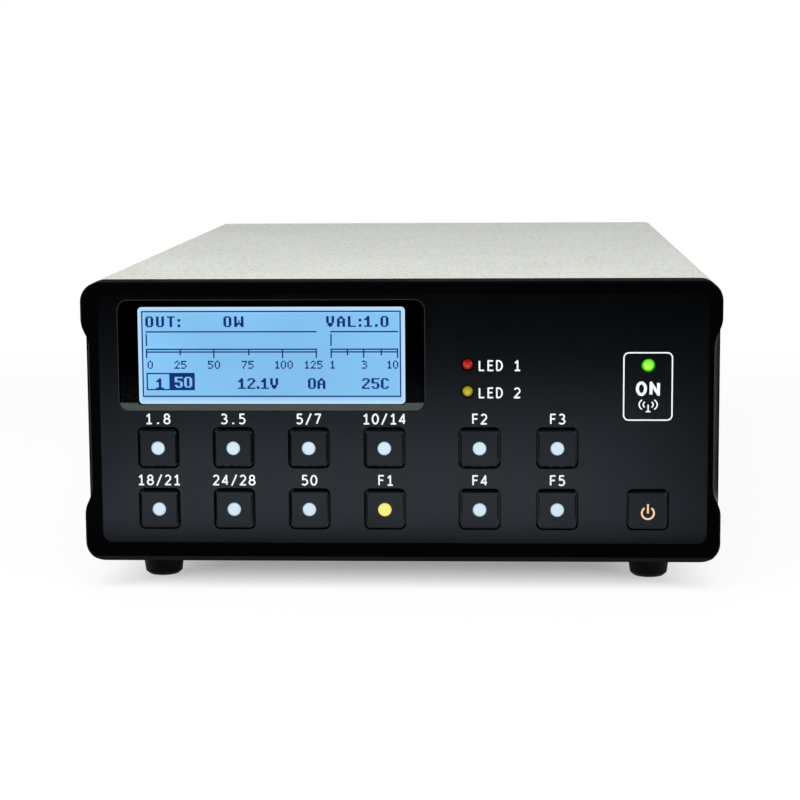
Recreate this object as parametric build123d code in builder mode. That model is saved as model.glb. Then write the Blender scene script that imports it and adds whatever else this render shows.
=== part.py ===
"""HF linear amplifier: a desk-top power amplifier in a folded-steel case with a moulded front.

Right-handed frame in millimetres: +X to the user's right, +Z up, and the front faces -Y.
The origin lies on the desk, under the centre of the unit's bounding box.
Depths are measured backwards from the front face, heights from the lower edge of the moulding.
"""
import os
from math import atan2, degrees

from build123d import *

os.makedirs("parts", exist_ok=True)

# ------------------------------------------------------------------ whole case
case_depth = 262.0          # front face to the outer face of the rear panel
floor_clearance = 7.2       # desk to the lower edge of the front moulding
seam = 0.2                  # gap between the moulding and the sheet metal behind it
plate_fit = 0.15            # gap all round an inset plate
screw_fit = 0.1             # radial gap round a screw shank
sheet_fit = 0.2             # gap between nested folded sheets

# ------------------------------------------------------------------ front moulding
bezel_width = 160.5
bezel_height = 71.2
bezel_depth = 9.0
bezel_corner = 5.0
bezel_edge = 0.4            # fine chamfer round the front edge
bottom_bevel = 1.4          # broader bevel along the lower edge
face_wall = 2.6             # thickness behind the front face
rim_wall = 2.2              # thickness of the upper and lower rims
side_wall = 4.4             # thickness of the side rims, which carry the finger scoops
cavity_corner = 3.0
scoop_depth = 7.5           # finger scoop: how far back it runs
scoop_inset = 1.95          # and how far it cuts in at the front face
scoop_heel = 0.2            # inset left at its heel
scoop_low = 11.9            # its lower end, above the lower edge
scoop_top_margin = 9.1      # its upper end, below the upper edge
scoop_run = 7.5             # length of its S-shaped ends
scoop_overrun = 2.0         # how far the cut runs out past the side

# ------------------------------------------------------------------ inset face plate
overlay_thickness = 0.6
overlay_left_margin = 4.55
overlay_right_margin = 3.45
overlay_bottom_margin = 5.0
overlay_top_margin = 3.2
overlay_corner = 2.5

# ------------------------------------------------------------------ display
window_width = 76.8
window_height = 27.9
window_corner = 2.4
window_thickness = 1.5
window_edge = 0.2
window_left_margin = 9.55   # its left edge, from the moulding's
window_top_margin = 4.7
lcd_side_border = 5.15      # window beyond the viewing area, left and right
lcd_end_border = 1.8        # and above and below
lcd_offset_x = 0.25         # viewing area from the window's centre
lcd_offset_z = 0.2
lcd_gap = 0.2               # air between window and display glass
lcd_rim = 3.0               # metal frame round the viewing area
lcd_body_depth = 5.5
header_width = 50.0
header_height = 2.5

# ------------------------------------------------------------------ keys
key_size = 9.45
key_gap = 0.42              # visible gap round a key
key_corner = 1.0
key_bevel = 0.4
key_proud = 0.9             # how far a key stands out of the face
key_travel = 0.6
key_skin = 0.6              # front wall of the closed power key
flange_reach = 1.0          # retaining flange beyond the opening
flange_thickness = 0.8
flange_gap = 0.15           # flange to wall, key at rest
stem_radius = 2.6
stem_length = 1.1
press_clearance = 0.15      # left between stem and plunger at full travel
lens_radius = 1.7
lens_setback = 0.3          # lens ends short of the stem
band_key_margin = 19.15     # first column of the band keys, from the moulding's left edge
band_pitch = 19.05
function_key_x = 19.9       # first column of the function keys
function_pitch = 19.45
power_key_margin = 18.25    # power key, from the moulding's right edge
row_low = 13.7              # lower row, above the lower edge
row_pitch = 15.6

# ------------------------------------------------------------------ indicator lamps
lamp_radius = 1.45
lamp_hole_gap = 0.2
lamp_proud = 0.2
lamp_collar = 0.5           # collar beyond the lens
lamp_collar_thickness = 1.0
lamp_length = 5.0           # tip to the underside of the collar
lamp_leg_radius = 0.25
lamp_leg_pitch = 2.54
warning_lamp_x = 16.95
fault_lamp_height = 50.4
lamp_pitch = 6.8            # fault lamp down to overdrive lamp
on_air_lamp_margin = 18.35  # from the moulding's right edge
on_air_lamp_height = 50.1

# ------------------------------------------------------------------ control board
board_thickness = 1.6
board_side_gap = 2.1        # board to the moulding's posts
board_corner = 2.0
board_height = 62.5
board_low = 4.2             # its lower edge, above the moulding's lower edge
board_boss_radius = 2.6
boss_low_height = 23.0      # between the two rows of keys
boss_high_height = 60.5
boss_inner_gap = 3.7        # display module to the boss beside it
boss_outer_gap = 2.6        # last function key's flange to the bosses beside it
switch_size = 6.2
switch_height = 3.2
plunger_radius = 2.2
plunger_bore = 1.3
plunger_reach = 1.0
switch_led_radius = 0.9
switch_led_height = 0.6

# ------------------------------------------------------------------ screws
screw_radius = 1.5          # M3
screw_length = 6.0
screw_head_radius = 2.8
screw_head_height = 1.7
screw_slot = 0.8
screw_recess = 0.8
wafer_head_radius = 3.0     # low heads on the cover
wafer_head_height = 1.0
fan_screw_radius = 2.0      # M4
fan_screw_length = 8.0
fan_head_radius = 3.5
fan_head_height = 2.2

# ------------------------------------------------------------------ sheet-metal case
cover_side_step = 1.25      # moulding beyond the cover on each side
cover_sheet = 1.0
cover_bend = 2.4            # outer bend radius
cover_drop = 0.3            # top of the cover below the top of the moulding
case_lift = 1.6             # underside of the case above the moulding's lower edge
chassis_sheet = 1.2
chassis_bend = 1.4
chassis_side = 24.0         # height of the chassis's side flanges
post_radius = 3.0           # posts that carry the moulding on the chassis
post_side_inset = 5.2       # from the chassis's side
post_low = 7.2
post_high = 64.0
post_reach = 7.0            # posts behind the moulding's rear edge
ribbon_width = 26.0
ribbon_height = 10.0
ribbon_corner = 2.0
lip_width = 10.0            # rear lips that carry the rear panel
gusset_depth = 14.0
vent_length = 15.0
vent_width = 2.6
vent_pitch = 6.0
vent_count = 11
vent_rows = 2
vent_row_pitch = 19.0
vent_start = 42.0           # first vent slot, behind the front face
vent_height = 47.0          # middle of the vent field, above the moulding's lower edge
cover_screw_depths = (34.0, 138.0, 236.0)
cover_screw_height = 12.0   # above the case's underside

# ------------------------------------------------------------------ feet
foot_radius = 5.9
foot_tip_radius = 4.7
foot_edge = 0.8
foot_side_margin = 15.4     # from the cover's side
foot_front_depth = 20.5
foot_rear_margin = 24.0
foot_recess_radius = 2.95
foot_seat = 3.0             # rubber left above the recess

# ------------------------------------------------------------------ heatsink and amplifier
sink_width = 110.0
sink_length = 170.0
sink_height = 26.0
sink_base = 6.0
sink_rear_gap = 12.0        # heatsink to fan
fin_thickness = 1.6
fin_pitch = 6.4
fin_count = 15
edge_fin = 7.0              # solid outer fins, tapped for the fixing screws
sink_screw_inset = 15.0
amp_board_width = 104.0
amp_board_length = 158.0
amp_screw_inset = 4.5
transistor_pitch = 34.0
transistor_depth = 40.0     # from the board's front edge
transistor_flange_length = 28.0
transistor_flange_width = 9.0
transistor_flange_thickness = 2.4
transistor_body = 12.0
transistor_body_height = 3.0
transistor_gap = 0.5        # board cut-out round the flange
core_radius = 8.0
core_bore = 4.0
core_length = 30.0
core_pitch = 17.0
core_depth = 72.0
core_plate = 1.6
coil_radius = 7.5
coil_thickness = 2.8
coil_pitch = 17.0
coil_count = 4
coil_x = 30.0
coil_depth = 57.0           # first coil, from the board's front edge
relay_length = 20.0
relay_width = 10.0
relay_height = 15.0
relay_edge = 0.6
relay_pitch = 13.0
relay_count = 6
relay_depth = 136.0

# ------------------------------------------------------------------ rear panel
panel_thickness = 2.0
panel_screw_side = 5.2      # from the chassis's side
panel_screw_inset = 7.0     # from the panel's upper and lower edges
fan_size = 60.0
fan_depth = 15.0
fan_corner = 4.0
fan_bore = 28.6
fan_hole_pitch = 50.0
fan_hub_radius = 14.0
fan_hub_plate = 2.2
fan_strut_width = 3.0
fan_strut_count = 4
fan_shaft_radius = 1.5
shaft_clearance = 0.05
bearing_wall = 2.0
rotor_gap = 0.6             # rotor to hub plate, and shaft end
tip_gap = 0.6
rotor_wall = 1.2
rotor_front_gap = 1.0
blade_count = 7
blade_thickness = 1.2
blade_root_chord = 12.5
blade_tip_chord = 15.0
blade_root_pitch = 48.0
blade_tip_pitch = 62.0
guard_thickness = 1.2
guard_rings = 4
guard_ring_step = 6.4
guard_first_ring = 7.6
guard_bar = 1.8             # width of the rings and bars
guard_eye_radius = 4.6
coax_side_gap = 3.1         # flange to the heads of the panel's corner screws
coax_pitch = 31.0
coax_flange = 25.4
coax_flange_thickness = 1.8
coax_hole_pitch = 18.2
coax_barrel_radius = 7.94   # 5/8 inch thread
coax_barrel_length = 16.0
coax_shell_wall = 1.7
coax_insulator_recess = 5.0
coax_contact_radius = 3.0
coax_contact_bore = 2.0
coax_contact_recess = 2.0
coax_bore_depth = 11.0
coax_rear_radius = 7.0
coax_rear_length = 7.0
power_rise = 17.0           # power socket above the panel's middle
power_width = 27.0
power_height = 13.0
power_reach = 7.0
power_inner_depth = 16.0
power_flange = 2.2
power_corner = 1.5
power_flange_thickness = 2.0
power_cell_width = 9.5
power_cell_height = 9.0
power_cell_pitch = 12.5
power_cell_depth = 17.0
power_blade_width = 6.0
power_blade_thickness = 1.2
jack_pitch = 16.0
jack_drop = 3.0             # jacks below the panel's middle
jack_bush_radius = 3.0
jack_bore = 1.8
jack_inner_bore = 2.3
jack_bush_reach = 4.0
jack_nut = 9.0
jack_nut_thickness = 2.0
jack_body_width = 9.0
jack_body_height = 11.0
jack_body_depth = 13.0
ground_drop = 22.0
ground_radius = 2.0         # M4 stud
ground_reach = 14.0
ground_inner = 5.0
ground_washer_radius = 4.5
ground_washer_thickness = 0.8
ground_nut = 7.0
ground_nut_thickness = 3.2

# ------------------------------------------------------------------ derived places
overall_depth = key_proud + case_depth + coax_flange_thickness + coax_barrel_length
front = key_proud - overall_depth / 2
bezel_bottom = floor_clearance
bezel_top = bezel_bottom + bezel_height
bezel_mid = bezel_bottom + bezel_height / 2
bezel_half = bezel_width / 2
overlay_width = bezel_width - overlay_left_margin - overlay_right_margin
overlay_x = (overlay_left_margin - overlay_right_margin) / 2
overlay_height = bezel_height - overlay_bottom_margin - overlay_top_margin
overlay_mid = bezel_bottom + overlay_bottom_margin + overlay_height / 2
window_x = -bezel_half + window_left_margin + window_width / 2
window_z = bezel_top - window_top_margin - window_height / 2
lcd_view_width = window_width - 2 * lcd_side_border
lcd_view_height = window_height - 2 * lcd_end_border
lcd_place = (window_x + lcd_offset_x, window_z + lcd_offset_z)

rows = (bezel_bottom + row_low + row_pitch, bezel_bottom + row_low)
key_opening = key_size + 2 * key_gap
band_key_x = -bezel_half + band_key_margin
power_key_x = bezel_half - power_key_margin
band_names = (("1_8", "3_5", "5_7", "10_14"), ("18_21", "24_28", "50", "auto"))
function_names = (("info", "bypass"), ("attenuator", "wireless"))
keys = {}
for row, names in enumerate(band_names):
    for column, key_name in enumerate(names):
        keys[key_name] = (band_key_x + column * band_pitch, rows[row])
for row, names in enumerate(function_names):
    for column, key_name in enumerate(names):
        keys[key_name] = (function_key_x + column * function_pitch, rows[row])
keys["power"] = (power_key_x, rows[1])
key_places = list(keys.values())

flange_front = face_wall + flange_gap
flange_back = flange_front + flange_thickness
stem_end = flange_back + stem_length
plunger_tip = stem_end + key_travel + press_clearance
switch_front = plunger_tip + plunger_reach
board_front = switch_front + switch_height
board_back = board_front + board_thickness
board_mid = bezel_bottom + board_low + board_height / 2

on_air_lamp_x = bezel_half - on_air_lamp_margin
fault_place = (warning_lamp_x, bezel_bottom + fault_lamp_height)
overdrive_place = (warning_lamp_x, bezel_bottom + fault_lamp_height - lamp_pitch)
on_air_place = (on_air_lamp_x, bezel_bottom + on_air_lamp_height)
lamp_places = [fault_place, overdrive_place, on_air_place]

cover_width = bezel_width - 2 * cover_side_step
chassis_width = cover_width - 2 * cover_sheet - 2 * sheet_fit
post_x = chassis_width / 2 - post_side_inset
board_width = 2 * (post_x - post_radius - board_side_gap)
lcd_right = lcd_place[0] + lcd_view_width / 2 + lcd_rim
boss_inner_x = lcd_right + boss_inner_gap + board_boss_radius
last_key_right = function_key_x + function_pitch + key_opening / 2 + flange_reach
boss_outer_x = last_key_right + boss_outer_gap + board_boss_radius
boss_places = [
    (band_key_x + band_pitch / 2, bezel_bottom + boss_low_height),
    (band_key_x + band_pitch * 2.5, bezel_bottom + boss_low_height),
    (boss_outer_x, bezel_bottom + boss_low_height),
    (boss_inner_x, bezel_bottom + boss_high_height),
    (boss_outer_x, bezel_bottom + boss_high_height),
]
post_places = [(sx * post_x, bezel_bottom + height) for sx in (-1, 1) for height in (post_low, post_high)]

case_front = bezel_depth + seam
case_bottom = bezel_bottom + case_lift
case_top = bezel_top - cover_drop
wall_front = bezel_depth + post_reach
chassis_floor = case_bottom + chassis_sheet
chassis_end = case_depth - panel_thickness
inner_top = case_top - cover_sheet - sheet_fit
inner_bend = cover_bend - cover_sheet
panel_height = inner_top - case_bottom
panel_mid = case_bottom + panel_height / 2
panel_inner = case_depth - panel_thickness

cover_screw_z = case_bottom + cover_screw_height
foot_x = cover_width / 2 - foot_side_margin
foot_places = [
    (sx * foot_x, front + depth)
    for sx in (-1, 1)
    for depth in (foot_front_depth, case_depth - foot_rear_margin)
]
panel_screw_x = chassis_width / 2 - panel_screw_side
panel_screw_places = [
    (sx * panel_screw_x, z)
    for sx in (-1, 1)
    for z in (case_bottom + panel_screw_inset, inner_top - panel_screw_inset)
]

fan_front = panel_inner - fan_depth
sink_end = fan_front - sink_rear_gap
sink_start = sink_end - sink_length
sink_top = chassis_floor + sink_height
sink_screw_x = sink_width / 2 - edge_fin / 2
sink_screw_places = [
    (sx * sink_screw_x, front + depth)
    for sx in (-1, 1)
    for depth in (sink_start + sink_screw_inset, sink_end - sink_screw_inset)
]
amp_start = sink_start + (sink_length - amp_board_length) / 2
amp_mid = front + amp_start + amp_board_length / 2
amp_top = sink_top + board_thickness
amp_screw_places = [
    (sx * (amp_board_width / 2 - amp_screw_inset), amp_mid + sy * (amp_board_length / 2 - amp_screw_inset))
    for sx in (-1, 1)
    for sy in (-1, 1)
]
transistor_y = front + amp_start + transistor_depth
transistor_places = [(sx * transistor_pitch / 2, transistor_y) for sx in (-1, 1)]

fan_place = (0.0, panel_mid)
fan_screw_places = [
    (sx * fan_hole_pitch / 2, panel_mid + sz * fan_hole_pitch / 2) for sx in (-1, 1) for sz in (-1, 1)
]
head_edge = panel_screw_x - screw_head_radius
coax_x = head_edge - coax_side_gap - coax_flange / 2
coax_places = {"input": (coax_x, panel_mid - coax_pitch / 2), "antenna": (coax_x, panel_mid + coax_pitch / 2)}
coax_screw_places = [
    (x + sx * coax_hole_pitch / 2, z + sz * coax_hole_pitch / 2)
    for x, z in coax_places.values()
    for sx in (-1, 1)
    for sz in (-1, 1)
]
guard_edge = fan_hole_pitch / 2 + guard_eye_radius
power_x = -(head_edge + guard_edge) / 2     # midway between the corner screws and the fan guard
power_place = (power_x, panel_mid + power_rise)
jack_places = [(power_x + sx * jack_pitch / 2, panel_mid - jack_drop) for sx in (-1, 1)]
ground_place = (power_x, panel_mid - ground_drop)


# ------------------------------------------------------------------ helpers
def facing(depth):
    """Plane that faces the user, `depth` behind the front face: local x right, local y up."""
    return Plane(origin=(0, front + depth, 0), x_dir=(1, 0, 0), z_dir=(0, -1, 0))


def facing_at(place, depth):
    """The same plane with its origin at an (x, z) place."""
    return Plane(origin=(place[0], front + depth, place[1]), x_dir=(1, 0, 0), z_dir=(0, -1, 0))


def rearward(place, depth):
    """Plane at an (x, z) place that faces the rear."""
    return Plane(origin=(place[0], front + depth, place[1]), x_dir=(-1, 0, 0), z_dir=(0, 1, 0))


def downward(place, height):
    """Plane at an (x, y) place that faces the desk."""
    return Plane(origin=(place[0], place[1], height), x_dir=(1, 0, 0), z_dir=(0, 0, -1))


def upward(place, height):
    """Plane at an (x, y) place that faces up."""
    return Plane(origin=(place[0], place[1], height), x_dir=(1, 0, 0), z_dir=(0, 0, 1))


def save(piece, name):
    """Label a finished piece and write its STEP file."""
    piece.part.label = name
    export_step(piece.part, f"parts/{name}.step")


def screw_set(seats, radius, length, head_radius, head_height):
    """Cross-head screws, one per seat plane: the head stands on the plane, the shank hangs below."""
    with BuildPart() as screws:
        for seat in seats:
            with BuildSketch(seat):
                Circle(head_radius)
            extrude(amount=head_height)
            with BuildSketch(seat):
                Circle(radius)
            extrude(amount=-length)
            with BuildSketch(seat.offset(head_height)):
                Rectangle(head_radius * 1.2, screw_slot)
                Rectangle(screw_slot, head_radius * 1.2)
            extrude(amount=-min(screw_recess, head_height * 0.6), mode=Mode.SUBTRACT)
    return screws


# ------------------------------------------------------------------ front moulding
with BuildPart() as front_bezel:
    with BuildSketch(facing(bezel_depth)):
        with Locations((0, bezel_mid)):
            RectangleRounded(bezel_width, bezel_height, bezel_corner)
    extrude(amount=bezel_depth)
    chamfer(front_bezel.faces().sort_by(Axis.Y)[0].edges(), bezel_edge)
    # bevel along the lower edge
    with BuildSketch(Plane.YZ):
        with BuildLine():
            Polyline(
                (front - 1, bezel_bottom - 1),
                (front - 1, bezel_bottom + bottom_bevel + 1),
                (front + bottom_bevel + 1, bezel_bottom - 1),
                close=True,
            )
        make_face()
    extrude(amount=bezel_half + 1, both=True, mode=Mode.SUBTRACT)
    # finger scoops: a cove down each side, lofted from a deep front section to its heel
    for side in (-1, 1):
        low = bezel_bottom + scoop_low
        high = bezel_top - scoop_top_margin
        for depth, inset in ((-0.6, scoop_inset), (scoop_depth * 0.6, scoop_inset * 0.9), (scoop_depth, scoop_heel)):
            outer = side * bezel_half
            inner = side * (bezel_half - inset)
            clear = side * (bezel_half + scoop_overrun)
            with BuildSketch(facing(depth)):
                with BuildLine():
                    Spline((outer, low), (inner, low + scoop_run), tangents=((0, 1), (0, 1)))
                    Line((inner, low + scoop_run), (inner, high - scoop_run))
                    Spline((inner, high - scoop_run), (outer, high), tangents=((0, 1), (0, 1)))
                    Polyline((outer, high), (clear, high), (clear, low), (outer, low))
                make_face()
        loft(mode=Mode.SUBTRACT)
    # hollow behind the face
    with BuildSketch(facing(bezel_depth)):
        with Locations((0, bezel_mid)):
            RectangleRounded(bezel_width - 2 * side_wall, bezel_height - 2 * rim_wall, cavity_corner)
    extrude(amount=bezel_depth - face_wall, mode=Mode.SUBTRACT)
    # bosses for the control board and posts for the chassis
    with BuildSketch(facing(board_front)):
        with Locations(*boss_places):
            Circle(board_boss_radius)
    extrude(amount=board_front - face_wall / 2 - overlay_thickness)
    with BuildSketch(facing(wall_front)):
        with Locations(*post_places):
            Circle(post_radius)
    extrude(amount=wall_front - face_wall / 2 - overlay_thickness)
    with BuildSketch(facing(board_front)):
        with Locations(*boss_places):
            Circle(screw_radius)
    extrude(amount=screw_length - board_thickness + screw_fit, mode=Mode.SUBTRACT)
    with BuildSketch(facing(wall_front)):
        with Locations(*post_places):
            Circle(screw_radius)
    extrude(amount=screw_length - chassis_sheet + screw_fit, mode=Mode.SUBTRACT)
    # seats for the face plate and the display window
    with BuildSketch(facing(overlay_thickness)):
        with Locations((overlay_x, overlay_mid)):
            RectangleRounded(
                overlay_width + 2 * plate_fit, overlay_height + 2 * plate_fit, overlay_corner + plate_fit
            )
    extrude(amount=overlay_thickness + 1, mode=Mode.SUBTRACT)
    with BuildSketch(facing(window_thickness)):
        with Locations((window_x, window_z)):
            RectangleRounded(
                window_width + 2 * plate_fit, window_height + 2 * plate_fit, window_corner + plate_fit
            )
    extrude(amount=window_thickness, mode=Mode.SUBTRACT)
    # openings for the display, the keys and the lamps
    with BuildSketch(facing(face_wall)):
        with Locations(lcd_place):
            Rectangle(lcd_view_width + 2 * plate_fit, lcd_view_height + 2 * plate_fit)
        with Locations(*key_places):
            RectangleRounded(key_opening, key_opening, key_corner + key_gap)
        with Locations(*lamp_places):
            Circle(lamp_radius + lamp_hole_gap)
    extrude(amount=face_wall, mode=Mode.SUBTRACT)
save(front_bezel, "front_bezel")

# ------------------------------------------------------------------ inset face plate
with BuildPart() as front_overlay:
    with BuildSketch(facing(overlay_thickness)):
        with Locations((overlay_x, overlay_mid)):
            RectangleRounded(overlay_width, overlay_height, overlay_corner)
        with Locations((window_x, window_z)):
            RectangleRounded(
                window_width + 2 * plate_fit,
                window_height + 2 * plate_fit,
                window_corner + plate_fit,
                mode=Mode.SUBTRACT,
            )
        with Locations(*key_places):
            RectangleRounded(key_opening, key_opening, key_corner + key_gap, mode=Mode.SUBTRACT)
        with Locations(*lamp_places):
            Circle(lamp_radius + lamp_hole_gap, mode=Mode.SUBTRACT)
    extrude(amount=overlay_thickness)
save(front_overlay, "front_overlay")

# ------------------------------------------------------------------ display window and module
with BuildPart() as display_window:
    with BuildSketch(facing(window_thickness)):
        with Locations((window_x, window_z)):
            RectangleRounded(window_width, window_height, window_corner)
    extrude(amount=window_thickness)
    chamfer(display_window.faces().sort_by(Axis.Y)[0].edges(), window_edge)
save(display_window, "display_window")

with BuildPart() as lcd_module:
    with BuildSketch(facing(face_wall)):
        with Locations(lcd_place):
            Rectangle(lcd_view_width, lcd_view_height)
    extrude(amount=face_wall - window_thickness - lcd_gap)
    with BuildSketch(facing(face_wall + lcd_body_depth)):
        with Locations(lcd_place):
            Rectangle(lcd_view_width + 2 * lcd_rim, lcd_view_height + 2 * lcd_rim)
    extrude(amount=lcd_body_depth)
    with BuildSketch(facing(board_front)):
        with Locations((lcd_place[0], lcd_place[1] - lcd_view_height / 2)):
            Rectangle(header_width, header_height)
    extrude(amount=board_front - face_wall - lcd_body_depth)
save(lcd_module, "lcd_module")

# ------------------------------------------------------------------ control board and switches
with BuildPart() as control_board:
    with BuildSketch(facing(board_back)):
        with Locations((0, board_mid)):
            RectangleRounded(board_width, board_height, board_corner)
        with Locations(*boss_places):
            Circle(screw_radius + screw_fit, mode=Mode.SUBTRACT)
    extrude(amount=board_thickness)
save(control_board, "control_board")

with BuildPart() as key_switches:
    with BuildSketch(facing(board_front)):
        with Locations(*key_places):
            Rectangle(switch_size, switch_size)
    extrude(amount=switch_height)
    with BuildSketch(facing(switch_front)):
        with Locations(*key_places):
            Circle(plunger_radius)
            Circle(plunger_bore, mode=Mode.SUBTRACT)
    extrude(amount=plunger_reach)
    with BuildSketch(facing(switch_front)):
        with Locations(*key_places):
            Circle(switch_led_radius)
    extrude(amount=switch_led_height)
save(key_switches, "key_switches")

board_seats = [rearward(place, board_back) for place in boss_places]
post_seats = [rearward(place, wall_front + chassis_sheet) for place in post_places]
front_screws = screw_set(
    board_seats + post_seats, screw_radius, screw_length, screw_head_radius, screw_head_height
)
save(front_screws, "front_screws")


# ------------------------------------------------------------------ keys and their light pipes
def make_key(place, light_end):
    """Key cap with a retaining flange and a tubular stem; the bore for its light pipe ends at `light_end`."""
    with BuildPart() as cap:
        with BuildSketch(facing_at(place, flange_front)):
            RectangleRounded(key_size, key_size, key_corner)
        extrude(amount=flange_front + key_proud)
        chamfer(cap.faces().sort_by(Axis.Y)[0].edges(), key_bevel)
        with BuildSketch(facing_at(place, flange_back)):
            Rectangle(key_opening + 2 * flange_reach, key_opening + 2 * flange_reach)
        extrude(amount=flange_thickness)
        with BuildSketch(facing_at(place, stem_end)):
            Circle(stem_radius)
        extrude(amount=stem_length)
        with BuildSketch(facing_at(place, stem_end)):
            Circle(lens_radius)
        extrude(amount=stem_end - light_end, mode=Mode.SUBTRACT)
    return cap


def make_lens(place, light_end):
    """Light pipe that fills the key's bore up to `light_end`."""
    with BuildPart() as lens:
        with BuildSketch(facing_at(place, stem_end - lens_setback)):
            Circle(lens_radius)
        extrude(amount=stem_end - lens_setback - light_end)
    return lens


for key_name, key_place in keys.items():
    pipe_end = -key_proud + (key_skin if key_name == "power" else 0.0)
    save(make_key(key_place, pipe_end), f"key_{key_name}")
    save(make_lens(key_place, pipe_end), f"lens_{key_name}")


# ------------------------------------------------------------------ indicator lamps
def make_lamp(place):
    """Round indicator lamp: domed lens, collar and two legs down to the board."""
    collar_back = lamp_length - lamp_proud
    with BuildPart() as lamp:
        with BuildSketch(facing_at(place, collar_back)):
            Circle(lamp_radius)
        extrude(amount=lamp_length)
        fillet(lamp.faces().sort_by(Axis.Y)[0].edges(), lamp_radius * 0.7)
        with BuildSketch(facing_at(place, collar_back)):
            Circle(lamp_radius + lamp_collar)
        extrude(amount=lamp_collar_thickness)
        with BuildSketch(facing_at(place, board_front)):
            with Locations((-lamp_leg_pitch / 2, 0), (lamp_leg_pitch / 2, 0)):
                Circle(lamp_leg_radius)
        extrude(amount=board_front - collar_back)
    return lamp


save(make_lamp(fault_place), "fault_lamp")
save(make_lamp(overdrive_place), "overdrive_lamp")
save(make_lamp(on_air_place), "on_air_lamp")

# ------------------------------------------------------------------ chassis
with BuildPart() as base_chassis:
    # channel: floor and side flanges, folded from one sheet
    with BuildSketch(facing(chassis_end)) as channel:
        with Locations((0, case_bottom + chassis_side / 2)):
            Rectangle(chassis_width, chassis_side)
        fillet(channel.vertices().group_by(Axis.Y)[0], chassis_bend)
    extrude(amount=chassis_end - case_front)
    with BuildSketch(facing(chassis_end)) as channel_inside:
        with Locations((0, chassis_floor + chassis_side / 2)):
            Rectangle(chassis_width - 2 * chassis_sheet, chassis_side)
        fillet(channel_inside.vertices().group_by(Axis.Y)[0], chassis_bend - chassis_sheet)
    extrude(amount=chassis_end - case_front, mode=Mode.SUBTRACT)
    # front wall, with the slot for the ribbon cable
    with BuildSketch(facing(wall_front + chassis_sheet)):
        with Locations((0, case_bottom + panel_height / 2)):
            Rectangle(chassis_width, panel_height)
        with Locations((0, panel_mid)):
            RectangleRounded(ribbon_width, ribbon_height, ribbon_corner, mode=Mode.SUBTRACT)
        with Locations(*post_places):
            Circle(screw_radius + screw_fit, mode=Mode.SUBTRACT)
    extrude(amount=chassis_sheet)
    fillet(base_chassis.edges().filter_by(Axis.Y).group_by(Axis.Z)[-1], inner_bend)
    # rear corner posts: a lip for the rear panel and a gusset down to the side flange
    for side in (-1, 1):
        with BuildSketch(facing(chassis_end)):
            with Locations((side * (chassis_width - lip_width) / 2, panel_mid + chassis_bend / 2 - inner_bend / 2)):
                Rectangle(lip_width, panel_height - chassis_bend - inner_bend)
        extrude(amount=chassis_sheet)
        with BuildSketch(facing(chassis_end)):
            with Locations((side * (chassis_width - chassis_sheet) / 2, panel_mid + chassis_bend / 2 - inner_bend / 2)):
                Rectangle(chassis_sheet, panel_height - chassis_bend - inner_bend)
        extrude(amount=gusset_depth)
    # holes for the rear panel, the cover, the feet and the heatsink
    with BuildSketch(facing(chassis_end)):
        with Locations(*panel_screw_places):
            Circle(screw_radius)
    extrude(amount=chassis_sheet, mode=Mode.SUBTRACT)
    with BuildSketch(Plane.YZ):
        with Locations(*[(front + depth, cover_screw_z) for depth in cover_screw_depths]):
            Circle(screw_radius)
    extrude(amount=chassis_width / 2, both=True, mode=Mode.SUBTRACT)
    with BuildSketch(Plane.XY.offset(case_bottom)):
        with Locations(*foot_places):
            Circle(screw_radius)
        with Locations(*sink_screw_places):
            Circle(screw_radius + screw_fit)
    extrude(amount=chassis_sheet, mode=Mode.SUBTRACT)
save(base_chassis, "base_chassis")

# ------------------------------------------------------------------ cover
with BuildPart() as top_cover:
    with BuildSketch(facing(case_depth)) as cover_outside:
        with Locations((0, (case_top + case_bottom) / 2)):
            Rectangle(cover_width, case_top - case_bottom)
        fillet(cover_outside.vertices().group_by(Axis.Y)[-1], cover_bend)
    extrude(amount=case_depth - case_front)
    with BuildSketch(facing(case_depth)) as cover_inside:
        with Locations((0, (case_top + case_bottom) / 2 - cover_sheet)):
            Rectangle(cover_width - 2 * cover_sheet, case_top - case_bottom)
        fillet(cover_inside.vertices().group_by(Axis.Y)[-1], inner_bend)
    extrude(amount=case_depth - case_front, mode=Mode.SUBTRACT)
    # air slots and screw holes, through both sides
    vent_y = front + vent_start + vent_pitch * (vent_count - 1) / 2
    with BuildSketch(Plane.YZ):
        with Locations((vent_y, bezel_bottom + vent_height)):
            with GridLocations(vent_pitch, vent_row_pitch, vent_count, vent_rows):
                SlotOverall(vent_length, vent_width, rotation=90)
        with Locations(*[(front + depth, cover_screw_z) for depth in cover_screw_depths]):
            Circle(screw_radius + screw_fit)
    extrude(amount=cover_width / 2 + 1, both=True, mode=Mode.SUBTRACT)
save(top_cover, "top_cover")

cover_seats = [
    Plane(origin=(side * cover_width / 2, front + depth, cover_screw_z), x_dir=(0, side, 0), z_dir=(side, 0, 0))
    for side in (-1, 1)
    for depth in cover_screw_depths
]
cover_screws = screw_set(cover_seats, screw_radius, screw_length, wafer_head_radius, wafer_head_height)
save(cover_screws, "cover_screws")

# ------------------------------------------------------------------ feet
foot_height = case_bottom
foot_taper = degrees(atan2(foot_radius - foot_tip_radius, foot_height))
with BuildPart() as feet:
    with BuildSketch(Plane.XY.offset(case_bottom)):
        with Locations(*foot_places):
            Circle(foot_radius)
    extrude(amount=-foot_height, taper=foot_taper)
    chamfer(feet.faces().group_by(Axis.Z)[0].edges(), foot_edge)
    with BuildSketch(Plane.XY):
        with Locations(*foot_places):
            Circle(foot_recess_radius)
    extrude(amount=foot_height - foot_seat, mode=Mode.SUBTRACT)
    with BuildSketch(Plane.XY):
        with Locations(*foot_places):
            Circle(screw_radius + screw_fit)
    extrude(amount=foot_height, mode=Mode.SUBTRACT)
save(feet, "feet")

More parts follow.
